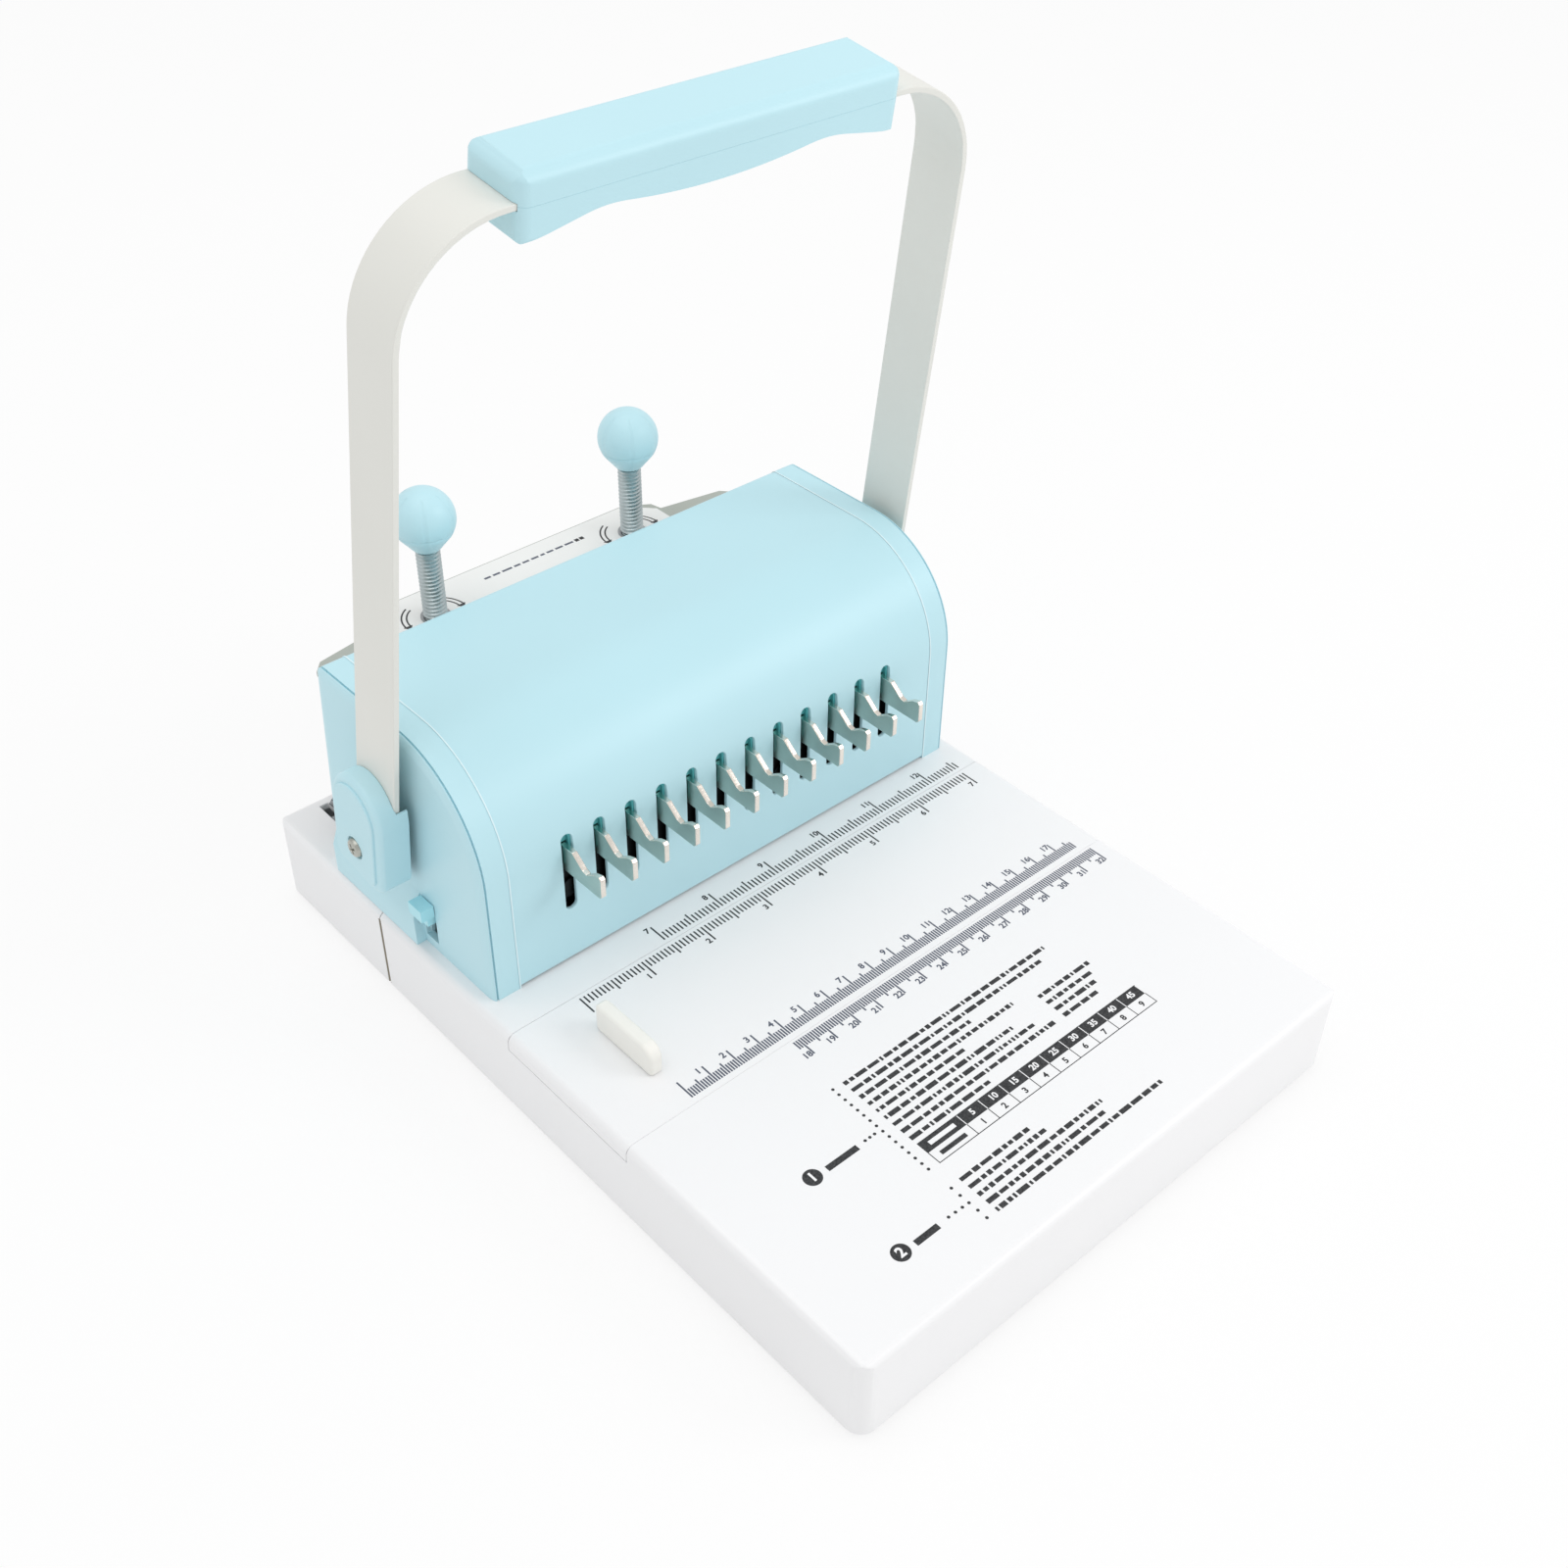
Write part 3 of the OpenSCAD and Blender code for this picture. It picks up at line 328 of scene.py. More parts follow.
@dataclass(frozen=True)
class Rubber(Finish):
    """Matt moulded rubber."""

    dust_scale: float = 180
    grain_scale: float = 1200
    grain: float = 0.02 * MM

    def build(self, shader: Shader) -> bpy.types.Material:
        """Makes the material from the rubber's colour."""
        base = Vector(srgb(self.colour))
        dust = shader.ramp(shader.noise(self.dust_scale, 5), 0.45, 0.8)
        return shader.surface({
            "Base Color": shader.blend(dust, tuple(base), tuple(base * 1.6)), "Roughness": 0.75 + 0.15 * dust,
            "Normal": shader.bump(shader.noise(self.grain_scale, 2), self.grain, 0.4)})


BLUE = MouldedPlastic("blue_moulding", "c1e7f0")
# Dark brown-grey beside the joint between base and drawer: painted shade of the joint's gap.
JOINT_SHADE = MouldedPlastic("joint_shade", "8f8778")
# Pale blue of the strips along the cover's joints: a painted highlight.
HIGHLIGHT_BLUE = MouldedPlastic("painted_highlight_blue_moulding", "e2f7fc")
TEAL = MouldedPlastic("teal_moulding", "b6ecf6")
# Darker copy of the blue moulding: painted shade for the walls inside the cover's slots.
SHADED_TEAL = MouldedPlastic("painted_shade_teal_moulding", "5ab5b8")
WHITE = MouldedPlastic("white_moulding", "f3f3f4", roughness=0.34, clouds=0.012)
IVORY = MouldedPlastic("ivory_moulding", "f5f4ee", roughness=0.45, clouds=0.03)
STRAP_PAINT = Enamel("strap_paint", "e6e6e0")
SHELF_PAINT = Enamel("shelf_paint", "b0b5ad")
ZINC = Plating("zinc_plate", "a9adb0", roughness=0.34)
NICKEL = Plating("nickel_plate", "b9bab2", roughness=0.26, streak=(1.0, 1.0, 0.08))
# Hook steel: the faces' teal tint is a painted reflection of the blue cover, the edges' bright cream a
# painted highlight on polished steel.
HOOK_SATIN_REFLECTION = Plating("hook_satin_painted_reflection", "c6d6d0", roughness=0.45, streak=(1.0, 0.08, 1.0))
POLISHED_HIGHLIGHT = Plating("polished_edge_painted_highlight", "f1e9df", roughness=0.14)
# Blacked steel of the inner bars; on the hook bar, seen through the cover's slots, the black is also painted
# shade.
BLACKED_AND_SHADE = Plating("blacked_steel_and_painted_shade", "2a2c2d", roughness=0.45)
BRONZE = Plating("sintered_bronze", "b08d4a", roughness=0.4)
THREAD = Plating("thread_steel", "c3ced0", roughness=0.3, streak=(1.0, 1.0, 0.3))
RUBBER = Rubber("foot_rubber", "2e2e2e")
BLACK_INK = Ink("black_ink", "121419")
GREY_INK = Ink("grey_ink", "4c5364")
PALE_INK = Ink("pale_ink", "f4f4f5", starved=0.0)
LABEL = MouldedPlastic("label_film", "f2f2f0", roughness=0.3, clouds=0.01, grain=0.004 * MM)

NODE_FINISH: dict[str, Finish] = {
    "bottom_plate": ZINC, "rubber_feet": RUBBER, "base_screws": ZINC, "left_side_frame": ZINC,
    "right_side_frame": ZINC, "die_plate": ZINC, "stripper_plate": ZINC, "guide_rods": NICKEL,
    "tie_bar": ZINC, "frame_screws": NICKEL, "cover_screws": NICKEL, "cap_screws": NICKEL,
    "bracket_screws": NICKEL, "screw_bushes": ZINC, "axle_bushes": BRONZE, "punch_bar": BLACKED_AND_SHADE,
    # The hook bar's black stands in as painted shade inside the cover's slots.
    "punches": NICKEL, "hook_bar": BLACKED_AND_SHADE, "hook_screws": BLACKED_AND_SHADE, "grip_screws": NICKEL,
    "axle": NICKEL, "left_cam": ZINC, "right_cam": ZINC,
    "paper_backstop": ZINC, "closing_bar": ZINC, "foot_keepers": ZINC,
}


def put(name: str, mesh: bmesh.types.BMesh, finishes: Iterable[Finish], body: Body,
        stands_for: Iterable[str] = (), crease: float = 35.0) -> bpy.types.Object:
    """Makes a finished piece of a bmesh and hangs it on its body.

    Args:
        name: The piece's name.
        mesh: Its shape in the machine's frame, freed here.
        finishes: One finish for each material index.
        body: The body that it moves with.
        stands_for: Nodes that it replaces.
        crease: Edges that turn by more than this many degrees stay sharp.

    Returns:
        The new object.
    """
    limit = math.radians(crease)
    for face in mesh.faces:
        face.smooth = True
    for edge in mesh.edges:
        edge.smooth = len(edge.link_faces) == 2 and edge.calc_face_angle(0.0) < limit
    data = bpy.data.meshes.new(name)
    mesh.to_mesh(data)
    mesh.free()
    piece = bpy.data.objects.new(name, data)
    bpy.context.scene.collection.objects.link(piece)
    for finish in finishes:
        data.materials.append(finish.material())
    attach(piece, body.value)
    if stands_for:
        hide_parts(*stands_for)
    LOG.info("%s: %d faces on %s", name, len(data.polygons), body.value)
    return piece


def weighted(piece: bpy.types.Object) -> None:
    """Keeps the flat faces of a rounded piece flat in the light."""
    modifier = piece.modifiers.new("flat_faces", "WEIGHTED_NORMAL")
    modifier.keep_sharp = True


def solid_of(node: str) -> bmesh.types.BMesh:
    """Copies a node's solid with its corners joined and its flat faces whole.

    Args:
        node: The node's name.

    Returns:
        A new bmesh.
    """
    shape = bmesh.new()
    shape.from_mesh(frame["nodes"][node].data)
    bmesh.ops.remove_doubles(shape, verts=shape.verts, dist=SOLID_WELD)
    bmesh.ops.dissolve_limit(shape, angle_limit=FLAT, verts=shape.verts, edges=shape.edges)
    return shape


def middle_of(node: str) -> Vector:
    """Gives the middle of a node's box."""
    low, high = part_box(node)
    return (low + high) / 2


def handle_pivot() -> Vector:
    """Gives the place that the handle turns round."""
    return Vector(next(j for j in frame["joints"] if j["name"] == "handle_turn")["pos_m"])


@dataclass
class EdgeRounder:
    """Rounds sharp edges and leaves those whose rounding would stray from the solid."""

    radius: float
    least: float = 40.0
    segments: int = 3
    wanted: Optional[Pick] = None
    tries: int = 12
    stray: float = 0.8
    turned: float = -0.3
    reach: float = 2.5

    def sharp(self, shape: bmesh.types.BMesh) -> list[int]:
        """Lists the numbers of the edges to round."""
        limit = math.radians(self.least)
        shape.edges.index_update()
        return [e.index for e in shape.edges if len(e.link_faces) == 2 and e.calc_face_angle(0.0) > limit
                and (self.wanted is None or self.wanted(e))]

    def strays(self, trial: bmesh.types.BMesh, skin: BVHTree) -> list[Vector]:
        """Finds where a rounded shape has left the skin of the solid or turned over.

        Args:
            trial: The rounded shape.
            skin: The solid's surface.

        Returns:
            Points at and beside each fault.
        """
        points = []
        for vert in trial.verts:
            if skin.find_nearest(vert.co)[3] > self.stray * self.radius:
                points.append(vert.co.copy())
                points.extend(e.other_vert(vert).co.copy() for e in vert.link_edges)
        for face in trial.faces:
            place, normal, _, _ = skin.find_nearest(face.calc_center_median())
            if place is not None and face.normal.dot(normal) < self.turned:
                points.extend(v.co.copy() for v in face.verts)
        return points

    def apply(self, shape: bmesh.types.BMesh) -> bmesh.types.BMesh:
        """Rounds a shape.

        Args:
            shape: The shape, freed here.

        Returns:
            A new bmesh with rounded edges.
        """
        skin = BVHTree.FromBMesh(shape)
        kept = self.sharp(shape)
        trial = shape.copy()
        for _ in range(self.tries):
            trial.free()
            trial = shape.copy()
            trial.edges.ensure_lookup_table()
            ends = {i: [v.co.copy() for v in trial.edges[i].verts] for i in kept}
            bmesh.ops.bevel(trial, geom=[trial.edges[i] for i in kept], offset=self.radius,
                            offset_type="OFFSET", segments=self.segments, profile=0.5, affect="EDGES",
                            clamp_overlap=False, material=-1)
            faults = self.strays(trial, skin)
            if not faults:
                shape.free()
                return trial
            kept = self.without(kept, ends, faults)
        trial.free()
        LOG.warning("some edges stay sharp")
        return shape

    def without(self, kept: list[int], ends: dict[int, list[Vector]], faults: list[Vector]) -> list[int]:
        """Drops the edges beside the faults.

        Args:
            kept: Numbers of the edges that were rounded.
            ends: The end points of each.
            faults: Points at and beside the faults.

        Returns:
            The edges to round next.
        """
        places = [(point, i) for i in kept for point in ends[i]]
        tree = KDTree(len(places))
        for index, (point, _) in enumerate(places):
            tree.insert(point, index)
        tree.balance()
        dropped = set()
        for fault in faults:
            near = [index for _, index, _ in tree.find_range(fault, self.reach * self.radius)]
            dropped.update(places[index][1] for index in near or [tree.find(fault)[1]] if index is not None)
        return [i for i in kept if i not in dropped]


def of_kind(geom: Iterable[Any], kind: type) -> list[Any]:
    """Picks the corners, edges or faces out of an operator's result."""
    return [element for element in geom if isinstance(element, kind)]


def bar(shape: bmesh.types.BMesh, low: Sequence[float], high: Sequence[float]) -> None:
    """Adds a box between two corners.

    Args:
        shape: The bmesh that gets it.
        low: Lowest corner.
        high: Highest corner.
    """
    low, high = Vector(low), Vector(high)
    place = Matrix.Translation((low + high) / 2) @ Matrix.Diagonal((*(high - low), 1.0))
    bmesh.ops.create_cube(shape, size=1.0, matrix=place)


def disc(shape: bmesh.types.BMesh, place: Sequence[float], radius: float, heights: Point,
         segments: int = 40) -> None:
    """Adds an upright round bar.

    Args:
        shape: The bmesh that gets it.
        place: Its middle, seen from above.
        radius: Its radius.
        heights: Heights of its foot and its top.
        segments: Facets round it.
    """
    low, high = heights
    bmesh.ops.create_cone(shape, cap_ends=True, segments=segments, radius1=radius, radius2=radius,
                          depth=high - low, matrix=Matrix.Translation((place[0], place[1], (low + high) / 2)))


def chain(shape: bmesh.types.BMesh, points: Iterable[Sequence[float]], closed: bool = False,
          ) -> tuple[list[bmesh.types.BMVert], list[bmesh.types.BMEdge]]:
    """Adds a row of corners joined by edges.

    Args:
        shape: The bmesh that gets it.
        points: The corners in order.
        closed: Whether an edge joins the last corner to the first.

    Returns:
        The corners and the edges.
    """
    verts = [shape.verts.new(point) for point in points]
    pairs = zip(verts[-1:] + verts[:-1], verts) if closed else zip(verts, verts[1:])
    return verts, [shape.edges.new(pair) for pair in pairs]


def extruded(shape: bmesh.types.BMesh, edges: list[bmesh.types.BMEdge], move: Sequence[float] = (0, 0, 0),
             ) -> list[Any]:
    """Extrudes a row of edges.

    Args:
        shape: The bmesh that they are in.
        edges: The edges.
        move: Where the new edges go.

    Returns:
        The new corners, edges and faces.
    """
    made = bmesh.ops.extrude_edge_only(shape, edges=edges)["geom"]
    bmesh.ops.translate(shape, vec=move, verts=of_kind(made, bmesh.types.BMVert))
    return made


def raised(shape: bmesh.types.BMesh, points: Iterable[Sequence[float]], height: float) -> None:
    """Adds a flat shape and raises it to a film.

    Args:
        shape: The bmesh that gets it.
        points: Its corners in order.
        height: Thickness of the film.
    """
    face = shape.faces.new([shape.verts.new(point) for point in points])
    top = bmesh.ops.extrude_face_region(shape, geom=[face])["geom"]
    bmesh.ops.translate(shape, vec=(0, 0, height), verts=of_kind(top, bmesh.types.BMVert))


def spun(shape: bmesh.types.BMesh, points: Iterable[Point], centre: Vector, steps: int, turns: int = 1,
         rise: float = 0.0) -> None:
    """Spins an outline round an upright axis.

    Args:
        shape: The bmesh that gets the skin.
        points: Radius and height of each point of the outline.
        centre: A point of the axis.
        steps: Facets in a turn.
        turns: Number of turns.
        rise: Climb of each turn, for a thread.
    """
    verts, edges = chain(shape, [(centre.x + radius, centre.y, z) for radius, z in points])
    bmesh.ops.spin(shape, geom=verts + edges, cent=centre, axis=(0, 0, 1), dvec=(0, 0, rise / steps),
                   angle=2 * math.pi * turns, steps=steps * turns, use_merge=rise == 0)
    bmesh.ops.remove_doubles(shape, verts=shape.verts, dist=SPIN_WELD)
    bmesh.ops.recalc_face_normals(shape, faces=shape.faces)


@dataclass
class Numerals:
    """Plain figures for the printed scales."""

    extrude: float = 0.005
    weight: float = 0.032
    cache: dict[str, bpy.types.Mesh] = field(default_factory=dict)

    def mesh(self, text: str) -> bpy.types.Mesh:
        """Gives figures one metre high as a thin mesh.

        Args:
            text: The digits.

        Returns:
            A mesh centred on its own origin.
        """
        if text not in self.cache:
            curve = bpy.data.curves.new("figure", "FONT")
            curve.body = text
            curve.align_x = "CENTER"
            curve.align_y = "CENTER"
            curve.resolution_u = 3
            curve.extrude = self.extrude
            curve.offset = self.weight
            holder = bpy.data.objects.new("figure", curve)
            bpy.context.scene.collection.objects.link(holder)
            made = holder.evaluated_get(bpy.context.evaluated_depsgraph_get())
            self.cache[text] = bpy.data.meshes.new_from_object(made)
            bpy.data.objects.remove(holder)
        return self.cache[text]

    def stamp(self, shape: bmesh.types.BMesh, text: str, place: Sequence[float], height: float) -> None:
        """Adds figures to a print.

        Args:
            shape: The print.
            text: The digits.
            place: Their middle, on the printed surface.
            height: Height of the type.
        """
        lift = Matrix.Translation(Vector(place) + Vector((0, 0, FILM / 2)))
        copy = self.mesh(text).copy()
        copy.transform(lift @ Matrix.Diagonal((height, height, FILM / (2 * self.extrude), 1.0)))
        shape.from_mesh(copy)
        bpy.data.meshes.remove(copy)


FIGURES = Numerals()


@dataclass
class Scale:
    """One printed row of a ruler, with its ticks growing from a base line."""

    name: str
    body: Body
    finish: Finish
    zero: Vector
    unit: float
    divisions: int
    last: int
    away: int
    first: int = 0
    counted: int = 0
    line: float = 0.6 * MM
    lengths: tuple[float, ...] = (3.6 * MM, 5.0 * MM, 7.8 * MM)
    figure: float = 3.35 * MM
    figure_side: float = -2.1 * MM
    figure_drop: float = 0.25

    def length(self, number: int) -> float:
        """Gives the length of a division's tick, longer at halves and longest at whole units."""
        part = number % self.divisions
        return self.lengths[2 if part == 0 else 1 if part * 2 == self.divisions else 0]

    def build(self) -> None:
        """Prints the row."""
        shape = bmesh.new()
        z = self.zero.z
        for number in range(self.first, self.last + 1):
            x = self.zero.x + number * self.unit / self.divisions
            near, far = sorted((self.zero.y, self.zero.y + self.away * self.length(number)))
            bar(shape, (x - self.line / 2, near, z), (x + self.line / 2, far, z + FILM))
            units = self.counted + number // self.divisions
            if number % self.divisions == 0 and units > 0:
                y = self.zero.y + self.away * (self.lengths[2] - self.figure * self.figure_drop)
                FIGURES.stamp(shape, str(units), (x + self.figure_side, y, z), self.figure)
        put(self.name, shape, [self.finish], self.body)


@dataclass
class Rulers:
    """The four scales printed beside the seams of the sliding strip."""

    inch_x: Point = (-80.9 * MM, -42.9 * MM)
    cm_x: Point = (-80.2 * MM, -40.1 * MM)
    inch_gaps: Point = (1.5 * MM, 1.8 * MM)
    cm_gaps: Point = (2.3 * MM, 1.2 * MM)

    def build(self) -> None:
        """Prints the scales, each on the strip and then on the base."""
        low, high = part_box("guide_strip")
        zero = Vector((self.inch_x[0], high.y - self.inch_gaps[0], high.z))
        Scale("inch_scale_strip", Body.STRIP, BLACK_INK, zero, INCH, 16, last=112, away=-1).build()
        zero = Vector((self.inch_x[1], high.y + self.inch_gaps[1], high.z))
        Scale("inch_scale_base", Body.CHASSIS, BLACK_INK, zero, INCH, 16, last=89, away=1, counted=7).build()
        zero = Vector((self.cm_x[0], low.y + self.cm_gaps[0], high.z))
        Scale("cm_scale_strip", Body.STRIP, GREY_INK, zero, CENTIMETRE, 10, last=177, away=1).build()
        zero = Vector((self.cm_x[1], low.y - self.cm_gaps[1], high.z))
        Scale("cm_scale_base", Body.CHASSIS, GREY_INK, zero, CENTIMETRE, 10, last=140, away=-1, first=-2,
              counted=18).build()


@dataclass(frozen=True)
class WordBlock:
    """Place of some rows of short bars, in millimetres, with the seed of the bars' lengths."""

    left: float
    top: float
    step: float
    seed: int
    ends: tuple[float, ...]


@dataclass(frozen=True)
class DotLine:
    """A dotted line between two places on the table."""

    start: Point
    end: Point
    count: int


@dataclass
class StepPanel:
    """Generic print on the table: two numbered steps, dotted lines, word rows and a small table."""

    badge_r: float = 3.1 * MM
    badges: tuple[Point, ...] = ((-73.7 * MM, -95.2 * MM), (-73.1 * MM, -131.1 * MM))
    badge_figure: float = 4.8 * MM
    title_ends: tuple[float, ...] = (-56.0 * MM, -58.5 * MM)
    title_gap: float = 5.3 * MM
    title_drop: float = 1.6 * MM
    title_rise: float = 0.6 * MM
    blocks: tuple[WordBlock, ...] = (
        WordBlock(-42.0, -75.0, 3.6, 3, (49, 44, 6, 22, -4, 14, 21, 26, -8)),
        WordBlock(31.0, -89.5, 3.6, 4, (56, 52, 50, 48)),
        WordBlock(-42.0, -124.4, 3.57, 5, (-13, -9, 12, 10, 32)))
    type_h: float = 1.55 * MM
    type_spread: Point = (0.85, 1.15)
    word_lengths: tuple[float, ...] = (0.9 * MM, 1.7 * MM, 2.6 * MM, 3.4 * MM, 4.6 * MM)
    word_gap: float = 0.75 * MM
    overrun: float = 0.5 * MM
    dot_r: float = 0.55 * MM
    dot_lines: tuple[DotLine, ...] = (
        DotLine((-46.1 * MM, -74.4 * MM), (-46.1 * MM, -115.4 * MM), 16),
        DotLine((-52.6 * MM, -95.4 * MM), (-48.7 * MM, -95.4 * MM), 3),
        DotLine((-46.1 * MM, -124.7 * MM), (-46.1 * MM, -138.8 * MM), 5),
        DotLine((-54.2 * MM, -131.4 * MM), (-48.7 * MM, -131.6 * MM), 3))
    table_left: float = -42.0 * MM
    table_rows: tuple[float, float, float] = (-106.4 * MM, -111.1 * MM, -116.1 * MM)
    table_first: float = -25.1 * MM
    table_cell: float = 9.3 * MM
    table_cells: int = 9
    table_step: int = 5
    table_figure: float = 3.2 * MM
    entry_inset: float = 3 * MM
    entry_half: float = 0.8 * MM
    rule: float = 0.3 * MM

    def __post_init__(self) -> None:
        """Reads the height of the printed surface."""
        self.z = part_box("guide_strip")[1].z

    def patch(self, shape: bmesh.types.BMesh, across: Point, along: Point, layer: int = 0) -> None:
        """Adds a printed rectangle on the table, on one of the layers of ink."""
        bar(shape, (across[0], along[0], self.z), (across[1], along[1], self.z + FILM * (1 + layer)))

    def dots(self, shape: bmesh.types.BMesh, line: DotLine) -> None:
        """Adds a dotted line.

        Args:
            shape: The print.
            line: Its place and its number of dots.
        """
        for i in range(line.count):
            share = i / (line.count - 1)
            place = [start + (end - start) * share for start, end in zip(line.start, line.end)]
            disc(shape, place, self.dot_r, (self.z, self.z + FILM), segments=16)

    def words(self, shape: bmesh.types.BMesh, block: WordBlock) -> None:
        """Adds rows of short bars in place of reading matter.

        Args:
            shape: The print.
            block: Place and seed of the rows.
        """
        draw = random.Random(block.seed)
        for row, end in enumerate(block.ends):
            x, right = block.left * MM, end * MM
            y = (block.top - block.step * row) * MM
            while x < right:
                length = draw.choice(self.word_lengths)
                tall = self.type_h * draw.uniform(*self.type_spread)
                self.patch(shape, (x, min(x + length, right + self.overrun)), (y - tall / 2, y + tall / 2))
                x += length + self.word_gap

    def table(self, shape: bmesh.types.BMesh, paper: bmesh.types.BMesh) -> None:
        """Adds the table of numbers, a dark head row over a row of ruled cells.

        Args:
            shape: The dark print.
            paper: The pale print on it.
        """
        top, middle, bottom = self.table_rows
        head_y, cell_y = (top + middle) / 2, (middle + bottom) / 2
        left, right = self.table_left, self.table_first + self.table_cell * self.table_cells
        self.patch(shape, (left, right), (middle, top))
        self.patch(shape, (left, right), (bottom, bottom + self.rule))
        for i in range(self.table_cells + 1):
            x = self.table_first + i * self.table_cell
            self.patch(shape, (x - self.rule, x), (bottom, middle))
            self.patch(paper, (x - self.rule, x), (middle, top - self.rule), 1)
            if i < self.table_cells:
                place = x + self.table_cell / 2
                number = str(self.table_step * (i + 1))
                FIGURES.stamp(paper, number, (place, head_y, self.z + FILM), self.table_figure)
                FIGURES.stamp(shape, str(i + 1), (place, cell_y, self.z), self.table_figure)
        self.patch(shape, (left, left + self.rule), (bottom, middle))
        entry = (left + self.entry_inset, self.table_first - self.entry_inset)
        self.patch(paper, entry, (head_y - self.entry_half, head_y + self.entry_half), 1)
        self.patch(shape, entry, (cell_y - self.entry_half, cell_y + self.entry_half))

    def build(self) -> None:
        """Prints the panel."""
        shape = bmesh.new()
        paper = bmesh.new()
        for number, ((x, y), end) in enumerate(zip(self.badges, self.title_ends), 1):
            disc(shape, (x, y), self.badge_r, (self.z, self.z + FILM))
            FIGURES.stamp(paper, str(number), (x, y, self.z + FILM), self.badge_figure)
            self.patch(shape, (x + self.title_gap, end), (y - self.title_drop, y + self.title_rise))
        for block in self.blocks:
            self.words(shape, block)
        for line in self.dot_lines:
            self.dots(shape, line)
        self.table(shape, paper)
        put("step_print", shape, [BLACK_INK], Body.CHASSIS)
        put("step_print_pale", paper, [PALE_INK], Body.CHASSIS)


@dataclass
class AdjustingScrews:
    """Threaded rods of the closing press, with their feet on the closing bar."""

    pitch: float = 1.5 * MM
    depth: float = 0.55 * MM
    shank_r: float = 4.3 * MM
    root_share: float = 0.12
    crest_share: float = 0.42
    pin_r: float = 3 * MM
    foot_r: float = 6 * MM
    foot_h: float = 2 * MM
    overlap: float = 1.5 * MM
    core_gap: float = 0.05 * MM
    steps: int = 28

    def build(self) -> None:
        """Makes both rods."""
        for side, body in ADJUSTERS:
            self.rod(side, body)

    def rod(self, side: str, body: Body) -> None:
        """Makes one rod with a true helical thread.

        Args:
            side: The side's name.
            body: The body that it moves with.
        """
        node = f"{side}_adjusting_screw"
        low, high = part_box(node)
        centre = Vector((*middle_of(node).xy, 0))
        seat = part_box("closing_bar")[1].z
        foot_top = seat + self.foot_h
        turns = math.ceil((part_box(f"{side}_ball_knob")[0].z + self.overlap - foot_top) / self.pitch)
        root = self.shank_r - self.depth
        ridge = [(root, 0.0), (root, self.root_share), (self.shank_r, self.crest_share),
                 (self.shank_r, 1 - self.crest_share), (root, 1 - self.root_share), (root, 1.0)]
        shape = bmesh.new()
        spun(shape, [(radius, foot_top + (share - 1) * self.pitch) for radius, share in ridge], centre,
             self.steps, turns, self.pitch)
        disc(shape, centre, self.pin_r, (low.z, seat))
        disc(shape, centre, self.foot_r, (seat, foot_top))
        disc(shape, centre, root - self.core_gap, (foot_top, high.z))
        put(f"{side}_threaded_rod", shape, [THREAD], body, [node], crease=50)


@dataclass
class BallKnobs:
    """Hollow-moulded ball knobs that taper to the rod, with a ring seam and faint panel lines."""

    steps: int = 96
    rows: int = 44
    groove: float = 0.4 * MM
    seam_share: float = -0.36
    seam_half: float = 0.022
    taper_share: float = -0.55
    foot_r: float = 5.2 * MM
    foot_edge: float = 0.4 * MM
    bore_r: float = 4.32 * MM
    panels: int = 6
    line_half: float = 0.1
    panel_reach: float = 0.86
    panel_depth: float = 0.6
    ball_share: float = 0.9

    def build(self) -> None:
        """Makes both knobs."""
        for side, body in ADJUSTERS:
            self.knob(side, body)

    def outline(self, r: float, low: float) -> list[Point]:
        """Gives the knob's outline from its foot to its top.

        Args:
            r: Radius of the ball.
            low: Height of the foot under the ball's middle.

        Returns:
            Radius and height of each point.
        """
        edge = self.foot_edge
        points = [(self.bore_r, low), (self.foot_r - edge, low), (self.foot_r, low + edge)]
        start = math.asin(self.taper_share)
        for i in range(self.rows + 1):
            angle = start + (math.pi / 2 - start) * i / self.rows
            inset = self.groove if abs(math.sin(angle) - self.seam_share) < self.seam_half else 0.0
            radius = (r - inset) * math.cos(angle) if i < self.rows else 0.0
            points.append((radius, (r - inset) * math.sin(angle)))
        return points

    def knob(self, side: str, body: Body) -> None:
        """Makes one knob by spinning its outline.

        Args:
            side: The side's name.
            body: The body that it moves with.
        """
        node = f"{side}_ball_knob"
        low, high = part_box(node)
        r = (high.x - low.x) / 2
        centre = Vector((*middle_of(node).xy, high.z - r))
        shape = bmesh.new()
        outline = self.outline(r, low.z - centre.z)
        spun(shape, [(radius, centre.z + height) for radius, height in outline], centre, self.steps)
        for vert in shape.verts:
            out = vert.co - centre
            panel = math.atan2(out.y, out.x) / (2 * math.pi) * self.panels
            on_line = abs(panel - round(panel)) / self.panels * self.steps < self.line_half
            if on_line and abs(out.z) < self.panel_reach * r and out.length > self.ball_share * r:
                vert.co -= out.normalized() * self.groove * self.panel_depth
        put(f"{side}_knob", shape, [BLUE], body, [node], crease=50)


